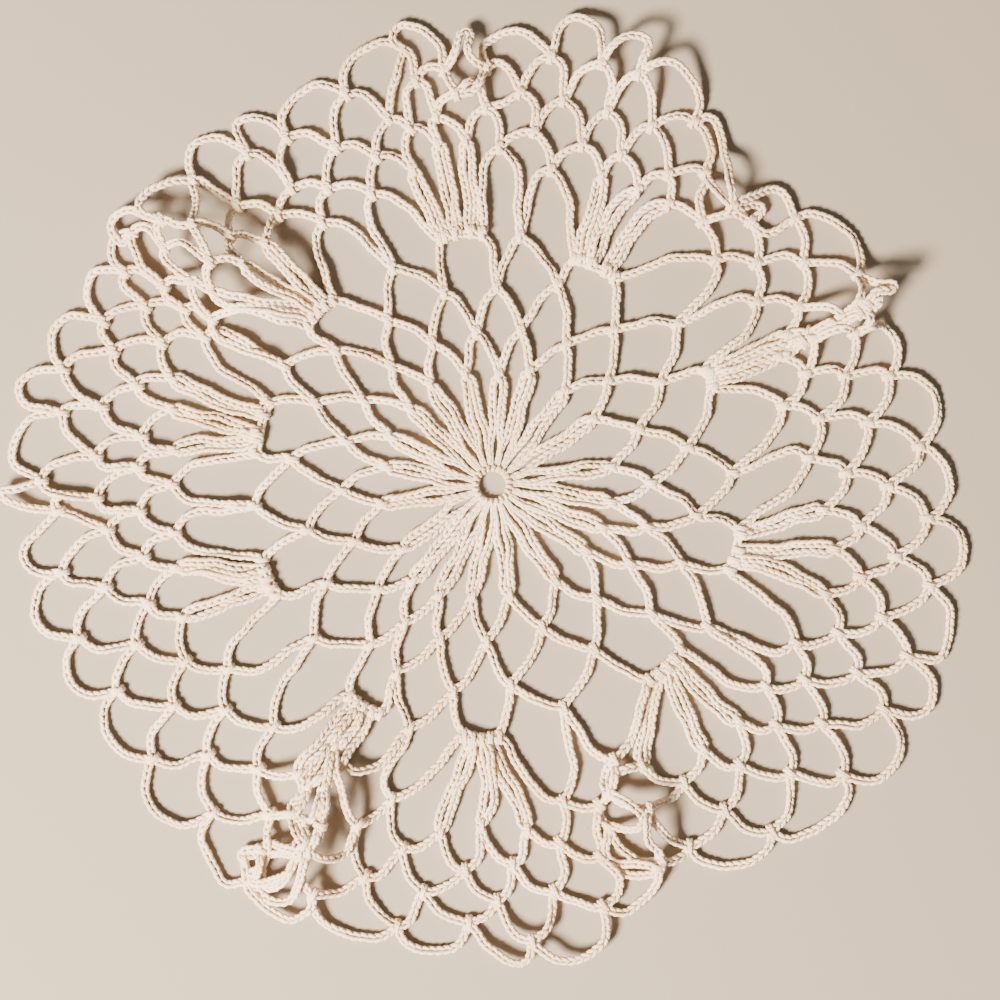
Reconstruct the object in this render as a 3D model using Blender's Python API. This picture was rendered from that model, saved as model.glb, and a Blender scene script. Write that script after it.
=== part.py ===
"""Crocheted lace doily, about 250 mm across, lying on a table with a few bunches pushed up in it.

The doily is one thread of crochet cotton worked from the centre outwards: a ring, 20 long petal loops,
three rounds of 20 chain arches, ten fans of five loops, then four rounds of 50 chain arches of which the
last makes the scalloped edge.  Each chain is a cord 2.5 mm wide, and the solid is the sheet that the cords
form together, with the gaps between them cut through.

Angles are degrees clockwise from the far side of the doily, distances are mm from the centre ring.
"""
import math

import bmesh
import bpy
import numpy as np
from mathutils import Vector
from mathutils.geometry import delaunay_2d_cdt

MM = 0.001                    # metres in a millimetre

# ---------------------------------------------------------------- cord and sheet, mm
CORD_WIDTH = 2.5              # width of one crocheted chain
SHEET_THICK = 2.2             # height of a chain lying on the table
RING_HOLE = 3.1               # radius of the hole in the centre ring
RING_LINE = 4.4               # radius of the cord that forms the centre ring
CENTRE_PILE = 1.0             # extra height where 40 cords crowd round the ring
CENTRE_PILE_REACH = 15.0      # how far out that crowding goes
FAN_PILE = 0.6                # extra height on the bar that carries the fan loops
FAN_PILE_REACH = 7.0
CLOSED_CENTRE = 9.3           # the cords leave no gaps within this distance of the centre
PETAL_COUNT = 20
PETAL_OFFSET_DEG = 5.0        # where the first petal leaves the ring
PAIR_GAP = 2.35               # distance between the two cords of a closed loop
LOOP_LEAN = 0.35              # how far a closed loop leaves its bar in the direction of its tip
LOOP_SWING = 0.35             # share of its length in which a closed loop changes direction
LOOP_STEPS = 22
LOOP_STARTS = {2: 2, 3: 4, 4: 6}  # place on the bar where each of a fan's closed loops starts, if not in a curve
LOOP_TURN = 1.3               # length of the turn at the tip of a closed loop
LOOP_ROOT = (0.45, 3.0)       # share of its width that a closed loop has at its root, and how fast it opens
BAR_SAG = 0.9                 # how far the ends of a fan's bar hang back
# how steeply an arch leaves its feet, how flat it is over its peak, and how much chain it takes
NET_BOW = (0.35, 0.35, 0.38)  # inner net
FAN_BOW = (0.12, 0.60, 0.40)  # wide loops of the fans
OUTER_BOW = (0.50, 0.75, 0.42)  # outer net
RIM_BOW = (0.72, 0.90, 0.44)  # scallops
FLAT_ARCH = 0.15              # an arch whose rise is a smaller share than this stands straight out
BEND_PULL = 0.36              # how stiffly the chain of a pushed arch runs through its places
BEND_STEPS = 8
SAME_PLACE = 0.5              # an arch with both feet in one place lies hidden on the next one, mm
REST_GAP_MIN = 2.6            # gaps narrower than this close up and are not cut, mm

# ---------------------------------------------------------------- layout of the inner net
# one row for each of the 20 sections: petal tip, arch peak of the net round, arch peak that carries the fans
SECTIONS = (
    # petal_deg, petal_mm, net_deg, net_mm, knot_deg, knot_mm
    (3.5, 28.5, 1.3, 51.5, 6.3, 65.0),
    (18.0, 31.0, 18.2, 54.5, 25.3, 62.5),
    (37.5, 30.5, 38.0, 51.0, 49.0, 63.5),
    (57.0, 31.0, 58.7, 51.0, 63.8, 63.0),
    (81.5, 31.0, 79.3, 51.5, 87.2, 62.5),
    (98.5, 31.0, 98.7, 53.5, 105.0, 65.5),
    (111.5, 30.5, 112.6, 53.0, 123.5, 67.0),
    (125.5, 29.5, 129.1, 53.0, 136.2, 65.0),
    (147.0, 29.5, 148.3, 50.0, 162.4, 60.5),
    (171.5, 28.5, 175.0, 52.0, 182.6, 65.5),
    (190.5, 29.0, 190.9, 54.5, 198.8, 66.5),
    (206.0, 31.5, 207.2, 54.5, 210.3, 66.3),
    (220.0, 32.0, 217.5, 52.0, 229.5, 61.0),
    (234.5, 28.5, 239.7, 50.0, 247.5, 63.0),
    (260.5, 29.0, 256.3, 49.5, 265.0, 62.0),
    (280.0, 28.0, 277.6, 52.5, 284.0, 62.0),
    (295.5, 29.0, 294.9, 50.5, 299.8, 62.5),
    (313.0, 29.0, 310.6, 53.5, 315.0, 63.5),
    (328.5, 30.5, 327.7, 50.5, 335.4, 62.0),
    (346.5, 29.5, 346.1, 51.5, 352.9, 65.5),
)
FIRST_FAN = 1                 # sections 1, 3, 5 ... 19 carry a fan, the others a plain arch

# ---------------------------------------------------------------- layout of the fans
# one row for each fan: the tips of its five loops in working order, and half the length of its bar
FANS = (
    # lead_deg, lead_mm, one_deg, one_mm, two_deg, two_mm, three_deg, three_mm, trail_deg, trail_mm, half_bar
    (10.6, 83.2, 19.6, 84.8, 26.3, 85.3, 32.2, 85.9, 44.8, 82.1, 5.7),
    (55.4, 83.2, 63.0, 85.5, 64.6, 86.5, 65.8, 81.0, 74.8, 78.3, 2.4),
    (85.2, 82.3, 94.4, 86.0, 100.7, 90.3, 108.2, 90.8, 117.6, 88.8, 5.6),
    (126.5, 88.2, 133.9, 88.6, 141.5, 87.7, 152.0, 82.2, 156.2, 77.8, 5.7),
    (167.5, 84.0, 174.4, 89.7, 182.0, 88.2, 188.6, 91.0, 197.8, 85.6, 4.6),
    (211.2, 79.0, 209.3, 88.8, 211.6, 90.6, 214.0, 89.5, 222.2, 84.4, 4.6),
    (235.2, 83.3, 246.9, 87.2, 255.2, 84.5, 255.2, 84.5, 261.5, 83.3, 4.9),
    (270.2, 83.2, 276.2, 83.0, 283.4, 85.5, 288.5, 87.8, 297.2, 84.2, 6.9),
    (300.6, 84.5, 304.6, 87.0, 311.5, 85.0, 316.8, 85.0, 327.1, 81.2, 4.6),
    (337.6, 81.7, 346.0, 84.3, 351.0, 89.6, 355.6, 89.4, 361.2, 87.6, 5.5),
)

# ---------------------------------------------------------------- layout of the outer net
# one row for each fan: peaks of the five arches that follow its loops, where the next round is hooked in
ROUND_ONE = (
    # lead_deg, lead_mm, one_deg, one_mm, two_deg, two_mm, three_deg, three_mm, trail_deg, trail_mm
    (14.8, 91.2, 21.3, 91.9, 29.5, 92.6, 38.7, 87.2, 50.0, 89.3),
    (60.0, 91.8, 64.2, 90.5, 65.3, 88.3, 70.5, 86.2, 78.6, 86.4),
    (88.2, 91.8, 96.4, 96.0, 104.1, 98.4, 113.3, 97.5, 122.0, 95.4),
    (130.3, 96.4, 138.6, 96.9, 147.3, 91.8, 159.4, 84.2, 161.6, 87.5),
    (169.4, 94.4, 177.1, 98.5, 184.1, 100.2, 193.9, 97.0, 201.6, 94.4),
    (206.8, 97.5, 209.3, 99.0, 211.5, 98.8, 219.6, 95.2, 229.9, 90.6),
    (240.2, 91.7, 251.1, 94.3, 258.4, 92.4, 258.4, 92.4, 265.8, 91.8),
    (272.9, 92.0, 277.9, 91.9, 285.6, 95.8, 293.3, 93.5, 299.7, 92.2),
    (304.0, 93.6, 308.3, 91.6, 313.5, 92.8, 321.6, 89.1, 331.0, 88.0),
    (340.6, 90.2, 347.0, 95.0, 351.4, 96.6, 359.0, 97.8, 366.8, 92.2),
)

ROUND_TWO = (
    # lead_deg, lead_mm, one_deg, one_mm, two_deg, two_mm, three_deg, three_mm, trail_deg, trail_mm
    (10.5, 101.4, 17.2, 101.3, 24.0, 101.7, 34.3, 97.8, 44.5, 95.7),
    (54.5, 99.2, 64.4, 99.8, 64.9, 97.0, 65.6, 91.5, 72.9, 95.7),
    (80.6, 98.5, 90.2, 102.4, 100.1, 106.2, 108.8, 106.8, 117.3, 106.3),
    (125.9, 105.3, 134.1, 107.4, 144.5, 103.5, 154.2, 92.2, 161.4, 93.5),
    (163.9, 100.5, 171.4, 106.6, 179.4, 107.8, 189.8, 106.8, 198.1, 106.8),
    (206.8, 104.6, 207.7, 106.0, 207.7, 103.3, 214.1, 102.7, 226.6, 101.6),
    (235.3, 100.4, 245.9, 101.0, 255.3, 103.8, 255.3, 103.8, 263.4, 100.5),
    (268.2, 102.8, 274.2, 103.1, 281.3, 103.4, 289.5, 104.2, 297.2, 101.2),
    (301.1, 99.5, 305.9, 104.0, 311.1, 101.3, 317.6, 98.0, 325.9, 93.0),
    (335.1, 96.4, 344.1, 98.9, 349.3, 106.6, 354.8, 101.3, 364.1, 102.0),
)

ROUND_THREE = (
    # lead_deg, lead_mm, one_deg, one_mm, two_deg, two_mm, three_deg, three_mm, trail_deg, trail_mm
    (14.6, 112.4, 19.6, 112.4, 29.1, 107.8, 40.8, 94.8, 48.7, 104.5),
    (60.2, 108.7, 64.3, 106.3, 64.9, 103.5, 67.3, 101.3, 74.7, 106.6),
    (84.9, 111.1, 94.4, 113.2, 103.0, 116.4, 112.5, 116.5, 119.9, 117.0),
    (129.6, 118.1, 141.2, 115.5, 151.5, 106.6, 155.8, 105.5, 156.8, 107.6),
    (165.3, 112.9, 175.1, 118.2, 183.2, 113.7, 192.3, 117.1, 203.7, 115.3),
    (213.4, 117.0, 212.3, 111.7, 211.7, 120.4, 220.5, 111.7, 231.2, 113.0),
    (241.3, 110.9, 249.7, 114.3, 258.6, 113.9, 258.6, 113.9, 266.6, 112.7),
    (270.6, 117.0, 279.6, 113.3, 285.1, 115.3, 292.8, 109.6, 300.1, 110.4),
    (304.9, 114.0, 308.7, 108.5, 315.6, 110.6, 323.5, 107.0, 329.4, 104.7),
    (339.5, 108.3, 348.5, 115.2, 353.4, 108.0, 359.3, 108.0, 367.8, 112.2),
)

# ---------------------------------------------------------------- layout of the scalloped edge
# one row for each fan: the outermost points of the five scallops over its loops
RIM = (
    # lead_deg, lead_mm, one_deg, one_mm, two_deg, two_mm, three_deg, three_mm, trail_deg, trail_mm
    (10.4, 124.5, 18.4, 122.8, 24.4, 119.3, 32.3, 111.3, 43.8, 107.8),
    (54.5, 114.3, 63.7, 116.2, 64.6, 111.5, 66.5, 107.2, 69.6, 112.2),
    (78.2, 118.2, 89.6, 119.9, 97.6, 124.7, 109.8, 126.3, 116.5, 128.6),
    (125.2, 128.6, 133.6, 125.0, 146.8, 119.0, 154.3, 109.2, 156.6, 110.0),
    (161.9, 117.1, 168.4, 125.4, 177.2, 125.3, 186.3, 123.0, 199.5, 123.6),
    (205.2, 125.3, 214.2, 115.7, 211.2, 119.0, 215.1, 125.2, 225.4, 123.1),
    (237.5, 120.3, 244.6, 122.0, 254.2, 124.8, 254.2, 124.8, 261.5, 124.6),
    (268.9, 128.4, 274.5, 126.2, 281.6, 126.8, 290.1, 121.7, 297.4, 118.6),
    (302.5, 118.4, 304.3, 121.0, 308.6, 117.5, 319.1, 118.6, 325.2, 116.4),
    (333.0, 114.5, 342.5, 118.6, 349.4, 122.7, 356.8, 118.7, 362.6, 119.3),
)

# ---------------------------------------------------------------- bunches and lifted edges
# one row for each arch that was pushed out of its shape: the places that its chain passes before and after
# its peak; round 0 is the wide loops of the fans, 4 the scalloped edge
PUSHED = (
    # round, fan, place, before_deg, before_mm, after_deg, after_mm
    (0, 6, 1, 203.9, 81.3, 210.4, 73.2),
    (1, 4, 4, 156.5, 81.1, 158.7, 79.8),
    (1, 5, 5, 199.5, 91.3, 206.5, 87.1),
    (1, 6, 3, 210.7, 94.4, 212.1, 92.3),
    (2, 1, 4, 31.7, 96.8, 35.9, 91.5),
    (2, 4, 5, 155.8, 94.3, 161.9, 90.6),
    (2, 5, 1, 163.2, 94.0, 166.4, 99.8),
    (2, 6, 1, 202.1, 103.3, 206.0, 101.0),
    (2, 9, 3, 309.9, 95.7, 312.9, 97.8),
    (2, 10, 4, 352.2, 100.5, 357.4, 104.4),
    (2, 10, 5, 1.7, 99.1, 6.1, 99.9),
    (3, 1, 3, 26.0, 106.5, 33.0, 104.4),
    (3, 1, 4, 37.0, 95.3, 44.2, 100.5),
    (3, 1, 5, 47.8, 96.7, 51.6, 103.0),
    (3, 4, 4, 156.4, 98.2, 159.7, 102.9),
    (3, 4, 5, 162.5, 102.5, 161.5, 106.4),
    (3, 5, 1, 162.1, 109.0, 168.3, 110.7),
    (3, 6, 1, 206.6, 120.6, 210.9, 111.5),
    (3, 6, 2, 210.3, 107.5, 208.8, 118.6),
    (3, 6, 3, 208.3, 113.9, 211.3, 113.5),
    (3, 7, 5, 265.2, 106.6, 268.4, 113.0),
    (3, 9, 1, 302.4, 108.2, 306.6, 110.3),
    (3, 9, 2, 306.9, 106.9, 309.7, 104.2),
    (3, 9, 3, 313.8, 105.6, 316.8, 104.6),
    (3, 10, 2, 345.8, 105.4, 349.3, 112.5),
    (3, 10, 3, 350.9, 109.5, 353.9, 104.6),
    (3, 10, 4, 357.6, 102.3, 1.3, 110.0),
    (4, 1, 4, 30.3, 110.5, 35.3, 104.2),
    (4, 1, 5, 42.0, 100.4, 46.3, 106.2),
    (4, 2, 2, 62.2, 111.5, 63.3, 109.9),
    (4, 5, 3, 175.7, 122.3, 180.3, 119.9),
    (4, 6, 1, 203.3, 119.8, 210.6, 122.9),
    (4, 6, 2, 214.2, 116.3, 213.3, 112.9),
    (4, 6, 3, 211.4, 114.9, 211.5, 119.8),
    (4, 7, 5, 259.2, 120.8, 264.1, 118.8),
    (4, 8, 1, 267.3, 120.4, 269.5, 122.9),
    (4, 9, 2, 303.2, 114.8, 307.0, 117.6),
    (4, 9, 3, 307.8, 112.8, 311.9, 116.1),
    (4, 10, 3, 347.2, 118.9, 352.7, 116.1),
    (4, 10, 4, 355.0, 111.7, 357.0, 110.7),
    (4, 10, 5, 358.9, 113.9, 6.1, 115.6),
)

# one row for each closed loop of a fan that lies in a curve: which of the nine places on its bar it
# starts from, and the places that its middle line passes
CURVED = (
    # fan, loop, start, near_deg, near_mm, far_deg, far_mm
    (1, 2, 1, 20.5, 70.7, 20.1, 78.8),
    (1, 3, 3, 23.8, 70.5, 24.1, 78.5),
    (1, 4, 6, 28.6, 70.6, 29.5, 80.7),
    (3, 2, 1, 98.7, 71.9, 95.7, 79.6),
    (3, 4, 6, 106.5, 73.5, 106.9, 81.5),
    (4, 2, 2, 134.4, 73.0, 134.7, 81.0),
    (4, 3, 4, 138.8, 73.1, 140.7, 81.3),
    (4, 4, 6, 142.9, 68.8, 148.1, 75.2),
    (5, 3, 4, 181.1, 73.5, 180.7, 81.5),
    (7, 2, 2, 246.1, 71.0, 246.5, 79.0),
    (8, 2, 2, 278.6, 70.2, 277.7, 78.3),
    (8, 3, 3, 282.8, 70.0, 282.8, 78.0),
    (8, 4, 6, 286.8, 70.2, 287.5, 78.2),
    (10, 2, 1, 347.5, 72.7, 346.5, 78.9),
    (10, 3, 3, 351.7, 73.5, 351.4, 81.5),
    (10, 4, 6, 355.8, 73.7, 355.6, 81.7),
)

# one row for each: middle of the bunch, direction its crest runs in, half length, half width, height
FOLDS = (
    # deg, mm, crest_deg, half_length, half_width, height
    (309.0, 94.0, 311.0, 38.0, 15.0, 13.0),
    (317.0, 80.0, 322.0, 22.0, 10.0, 6.0),
    (356.0, 108.0, 356.0, 15.0, 7.0, 7.0),
    (19.0, 118.0, 109.0, 26.0, 14.0, 7.0),
    (39.0, 102.0, 34.0, 20.0, 9.0, 8.0),
    (63.5, 108.0, 62.0, 24.0, 10.0, 11.0),
    (269.0, 124.0, 269.0, 14.0, 6.0, 3.0),
    (207.0, 101.0, 205.0, 32.0, 14.0, 11.0),
    (215.0, 86.0, 222.0, 24.0, 8.0, 6.0),
    (156.0, 94.0, 160.0, 24.0, 9.0, 9.0),
    (172.0, 120.0, 262.0, 26.0, 12.0, 4.0),
)

# ---------------------------------------------------------------- cotton
COTTON = (0.80, 0.75, 0.67, 1.0)
COTTON_ROUGHNESS = 0.85

# ---------------------------------------------------------------- fineness of the solid
GRID = 0.5                    # spacing at which the gaps between the cords are worked out, mm
SMOOTH = 0.55                 # how softly cords blend where they meet, mm
KEEP_AREA = 1.35              # a corner that changes the outline by less than this is left out, mm2
RIM_KEEP_AREA = 0.95          # the same for the outer outline, mm2
MIN_CORNERS = 6
FAR = 4.0                     # distances beyond this are all the same, mm
NEAR_CORD = 6.0               # distances are worked out this far round a cord, mm
MARGIN = 8.0                  # empty border round the lace, mm


def polar(deg, mm):
    """Plan point at an angle clockwise from the far side and a distance from the ring."""
    a = math.radians(deg)
    return np.array((mm * math.sin(a), mm * math.cos(a)))


def unit(v):
    return v / max(1e-9, float(np.hypot(v[0], v[1])))


def side_of(v):
    """Direction a quarter turn clockwise from v."""
    return np.array((v[1], -v[0]))


def bezier(p0, p1, p2, p3, steps):
    t = np.linspace(0.0, 1.0, steps + 1)[:, None]
    return ((1 - t) ** 3) * p0 + 3 * ((1 - t) ** 2) * t * p1 + 3 * (1 - t) * t * t * p2 + (t ** 3) * p3


def half_arch(foot, peak, other, steep, flat, slack, steps=14):
    """Chain from the foot of an arch up to its peak; 'other' is the far foot."""
    run = peak - foot
    size = float(np.hypot(run[0], run[1]))
    along = unit(run)
    across = unit(other - foot)
    rise = along - across * float(along @ across)
    rise = unit(rise) if np.hypot(rise[0], rise[1]) > FLAT_ARCH else unit(peak)
    start = unit((1 - steep) * along + steep * rise)
    end = unit((1 - flat) * along + flat * across)
    return bezier(foot, foot + start * size * slack, peak - end * size * slack, peak, steps)


def arch(left, peak, right, bow):
    """Whole chain arch through its peak."""
    rising = half_arch(left, peak, right, *bow)
    falling = half_arch(right, peak, left, *bow)[::-1]
    return np.vstack((rising, falling[1:]))


def smooth_line(places):
    """Chain through its places, as stiff as it is over an arch."""
    stops = (places[0],) + places + (places[-1],)
    line = [places[0][None]]
    for a, b, c, d in zip(stops, stops[1:], stops[2:], stops[3:]):
        pull = BEND_PULL * float(np.hypot(*(c - b)))
        line.append(bezier(b, b + unit(c - a) * pull, c - unit(d - b) * pull, c, BEND_STEPS)[1:])
    return np.vstack(line)


def bent_arch(place, left, peak, right, bow):
    """Chain arch at a place (round, fan, number), bent where the table of pushed arches has a row for it."""
    for row in PUSHED:
        if row[:3] == place:
            return smooth_line((left, polar(row[3], row[4]), peak, polar(row[5], row[6]), right))
    return arch(left, peak, right, bow)


def straight_loop(root, tip, lean):
    """Middle line of a closed loop that leaves its root in the direction 'lean' and ends straight outwards."""
    swing = LOOP_SWING * float(np.hypot(*(tip - root)))
    return bezier(root, root + lean * swing, tip - unit(tip) * swing, tip, LOOP_STEPS)


def fan_loop(place, out, bar, tip):
    """Middle line of a closed loop at a place (fan, loop), in a curve where its table has a row for it."""
    for row in CURVED:
        if row[:2] == place:
            return smooth_line((bar[row[2]], polar(row[3], row[4]), polar(row[5], row[6]), tip))
    root = bar[LOOP_STARTS[place[1]]]
    return straight_loop(root, tip, unit(out + LOOP_LEAN * unit(tip - root)))


def closed_loop(axis, gap):
    """Long loop of chain whose two sides lie against each other, along its middle line and back."""
    reach = float(np.hypot(*(axis[-1] - axis[0])))
    step = np.gradient(axis, axis=0)
    step /= np.hypot(step[:, 0], step[:, 1])[:, None]
    normal = np.stack((step[:, 1], -step[:, 0]), axis=1)
    f = np.linspace(0.0, 1.0, len(axis))
    turn = LOOP_TURN / reach
    half = 0.5 * gap * np.sqrt(np.clip(1.0 - np.clip((f - 1 + turn) / turn, 0, 1) ** 2, 0, 1))
    half *= np.clip(LOOP_ROOT[0] + f * LOOP_ROOT[1], 0.0, 1.0)
    one = axis - normal * half[:, None]
    two = axis + normal * half[:, None]
    return np.vstack((one, two[::-1]))


def places(table, inset=0.0):
    """Plan points of a table that has five places in each row."""
    return [polar(row[2 * k], row[2 * k + 1] - inset) for row in table for k in range(5)]


def lace_nodes():
    """Where the rounds are hooked into each other."""
    n = PETAL_COUNT
    petal = [polar(row[0], row[1]) for row in SECTIONS]
    net = [polar(row[2], row[3]) for row in SECTIONS]
    knot = [polar(row[4], row[5]) for row in SECTIONS]
    first = [0.25 * (petal[i] + petal[(i + 1) % n] + net[i] + net[(i + 1) % n]) for i in range(n)]
    rounds = [places(ROUND_ONE), places(ROUND_TWO), places(ROUND_THREE), places(RIM, 0.5 * CORD_WIDTH)]
    return petal, first, net, knot, places(FANS), rounds


def lace_cords():
    """Centre lines of every chain, round by round, as plan points in mm."""
    n = PETAL_COUNT
    petal, first, net, knot, tips, rounds = lace_nodes()
    cords = []
    ring = [polar(a, RING_LINE) for a in range(0, 361, 12)]
    cords.append(np.array(ring))
    for i in range(n):
        base_deg = PETAL_OFFSET_DEG + 360.0 * i / n
        root = polar(base_deg, RING_LINE)
        cords.append(closed_loop(straight_loop(root, petal[i], unit(root)), PAIR_GAP))
    for i in range(n):
        j = (i + 1) % n
        cords.append(arch(petal[i], first[i], petal[j], NET_BOW))
        cords.append(arch(first[i - 1], net[i], first[i], NET_BOW))
    fan_ends = {}
    for i in range(n):
        j = (i + 1) % n
        if i % 2 != FIRST_FAN:
            cords.append(arch(net[i], knot[i], net[j], NET_BOW))
            continue
        out = unit(knot[i])
        wide = side_of(out)
        half_bar = FANS[i // 2][10]
        bar = [knot[i] + wide * half_bar * f - out * BAR_SAG * f * f for f in np.linspace(-1, 1, 9)]
        fan_ends[i] = bar
        rising = half_arch(net[i], bar[0], net[j], *NET_BOW)
        falling = half_arch(net[j], bar[-1], net[i], *NET_BOW)[::-1]
        cords.append(np.vstack((rising, np.array(bar[1:-1]), falling)))
    for f in range(len(FANS)):
        i = (FIRST_FAN + 2 * f) % n
        bar = fan_ends[i]
        out = unit(knot[i])
        lead, one, two, three, trail = tips[5 * f:5 * f + 5]
        cords.append(bent_arch((0, f + 1, 1), knot[i - 1], lead, bar[0], FAN_BOW))
        for loop, tip in ((2, one), (3, two), (4, three)):
            cords.append(closed_loop(fan_loop((f + 1, loop), out, bar, tip), PAIR_GAP))
        cords.append(bent_arch((0, f + 1, 5), bar[-1], trail, knot[(i + 1) % n], FAN_BOW))
    inner = tips
    m = len(tips)
    for r, peaks in enumerate(rounds, start=1):
        bow = RIM_BOW if r == len(rounds) else OUTER_BOW
        for k in range(m):
            left, right = (inner[k], inner[(k + 1) % m]) if r % 2 else (inner[k - 1], inner[k])
            if np.hypot(*(right - left)) > SAME_PLACE:
                cords.append(bent_arch((r, k // 5 + 1, k % 5 + 1), left, peaks[k], right, bow))
        inner = peaks
    return cords


def relief(x, y):
    """Height of the underside of the sheet above the table, mm."""
    z = np.zeros_like(x)
    for deg, mm, crest_deg, half_length, half_width, height in FOLDS:
        cx, cy = polar(deg, mm)
        ux, uy = polar(crest_deg, 1.0)
        u = ((x - cx) * ux + (y - cy) * uy) / half_length
        v = ((x - cx) * uy - (y - cy) * ux) / half_width
        along = np.cos(0.5 * math.pi * np.clip(np.abs(u), 0, 1)) ** 2
        across = np.cos(0.5 * math.pi * np.clip(np.abs(v), 0, 1)) ** 2
        z = np.maximum(z, height * along * across)
    return z


def thickness(x, y):
    """Height of the sheet itself, more where cords pile on each other."""
    r = np.hypot(x, y)
    fall = np.clip((r - RING_HOLE) / (CENTRE_PILE_REACH - RING_HOLE), 0, 1)
    t = SHEET_THICK + CENTRE_PILE * (1 - fall)
    for i, row in enumerate(SECTIONS):
        if i % 2 == FIRST_FAN:
            cx, cy = polar(row[4], row[5])
            d = np.clip(np.hypot(x - cx, y - cy) / FAN_PILE_REACH, 0, 1)
            t = t + FAN_PILE * (1 - d * d)
    return t


def cord_field(cords):
    """Distance outside the cords on a square grid, negative inside them."""
    reach = max(row[2 * k + 1] for row in RIM for k in range(5)) + MARGIN
    size = int(math.ceil(reach / GRID))
    axis = np.arange(-size, size + 1) * GRID
    field = np.full((len(axis), len(axis)), FAR)
    window = int(NEAR_CORD / GRID)
    for line in cords:
        for a, b in zip(line[:-1], line[1:]):
            ci = int(round(0.5 * (a[0] + b[0]) / GRID)) + size
            cj = int(round(0.5 * (a[1] + b[1]) / GRID)) + size
            i0, i1 = ci - window, ci + window + 1
            j0, j1 = cj - window, cj + window + 1
            gx = axis[i0:i1][:, None]
            gy = axis[j0:j1][None, :]
            d = b - a
            t = np.clip(((gx - a[0]) * d[0] + (gy - a[1]) * d[1]) / max(1e-9, float(d @ d)), 0, 1)
            dist = np.hypot(gx - a[0] - t * d[0], gy - a[1] - t * d[1]) - 0.5 * CORD_WIDTH
            field[i0:i1, j0:j1] = np.minimum(field[i0:i1, j0:j1], dist)
    gx, gy = axis[:, None], axis[None, :]
    radius = np.hypot(gx, gy)
    field = np.minimum(field, np.maximum(radius - CLOSED_CENTRE, RING_HOLE - radius))
    half = int(math.ceil(3 * SMOOTH / GRID))
    k = np.exp(-0.5 * (np.arange(-half, half + 1) * GRID / SMOOTH) ** 2)
    k /= k.sum()
    for direction in (0, 1):
        field = np.apply_along_axis(lambda row: np.convolve(row, k, mode="same"), direction, field)
    field[:half + 1, :] = field[-half - 1:, :] = FAR
    field[:, :half + 1] = field[:, -half - 1:] = FAR
    return axis, field


def outlines(axis, field):
    """Closed lines where the field changes sign, the lace on their left."""
    inside = field < 0
    code = (inside[:-1, :-1] * 1 + inside[1:, :-1] * 2 + inside[1:, 1:] * 4 + inside[:-1, 1:] * 8)
    mixed = np.argwhere((code > 0) & (code < 15))
    exits = {1: ((3, 0),), 2: ((0, 1),), 3: ((3, 1),), 4: ((1, 2),), 6: ((0, 2),), 7: ((3, 2),),
             8: ((2, 3),), 9: ((2, 0),), 11: ((2, 1),), 12: ((1, 3),), 13: ((1, 0),), 14: ((0, 3),),
             5: ((3, 2), (1, 0)), 10: ((0, 3), (2, 1))}

    def edge(i, j, side):
        """Name of one side of a grid cell, shared with the cell next to it."""
        if side == 0:
            return (i, j, 0)
        if side == 1:
            return (i + 1, j, 1)
        if side == 2:
            return (i, j + 1, 0)
        return (i, j, 1)

    follow = {}
    for i, j in mixed.tolist():
        for a, b in exits[int(code[i, j])]:
            follow[edge(i, j, a)] = edge(i, j, b)

    def place(e):
        i, j, upright = e
        i2, j2 = (i, j + 1) if upright else (i + 1, j)
        f0, f1 = field[i, j], field[i2, j2]
        t = f0 / (f0 - f1)
        return (axis[i] + (axis[i2] - axis[i]) * t, axis[j] + (axis[j2] - axis[j]) * t)

    loops = []
    while follow:
        start, nxt = follow.popitem()
        chain = [start]
        while nxt != start:
            chain.append(nxt)
            nxt = follow.pop(nxt)
        loops.append(np.array([place(e) for e in chain]))
    return loops


def area_of(loop):
    x, y = loop[:, 0], loop[:, 1]
    return 0.5 * float(np.sum(x * np.roll(y, -1) - np.roll(x, -1) * y))


def simpler(loop, keep_area, least):
    """Leave out the corners that change the outline least."""
    pts = [tuple(p) for p in loop]

    def corner(a, b, c):
        return 0.5 * abs((b[0] - a[0]) * (c[1] - a[1]) - (c[0] - a[0]) * (b[1] - a[1]))

    sizes = [corner(pts[k - 1], pts[k], pts[(k + 1) % len(pts)]) for k in range(len(pts))]
    while len(pts) > least:
        k = min(range(len(pts)), key=sizes.__getitem__)
        if sizes[k] > keep_area:
            break
        base = sizes[k]
        del pts[k]
        del sizes[k]
        count = len(pts)
        for q in (k - 1, k % count):
            sizes[q] = max(base, corner(pts[q - 1], pts[q], pts[(q + 1) % count]))
    return np.array(pts)


def widest_inside(loop, axis, field):
    """Width of the widest circle that fits in a gap."""
    lo = np.searchsorted(axis, loop.min(axis=0)) - 1
    hi = np.searchsorted(axis, loop.max(axis=0)) + 1
    gx, gy = np.meshgrid(axis[lo[0]:hi[0]], axis[lo[1]:hi[1]], indexing="ij")
    hit = inside_loop(gx, gy, loop)
    part = field[lo[0]:hi[0], lo[1]:hi[1]]
    return 2.0 * float(part[hit].max()) if hit.any() else 0.0


def inside_loop(x, y, loop):
    hit = np.zeros(np.shape(x), dtype=bool)
    for (x0, y0), (x1, y1) in zip(loop, np.roll(loop, -1, axis=0)):
        if y0 == y1:
            continue
        cross = ((y0 > y) != (y1 > y)) & (x < (x1 - x0) * (y - y0) / (y1 - y0) + x0)
        hit ^= cross
    return hit


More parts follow.
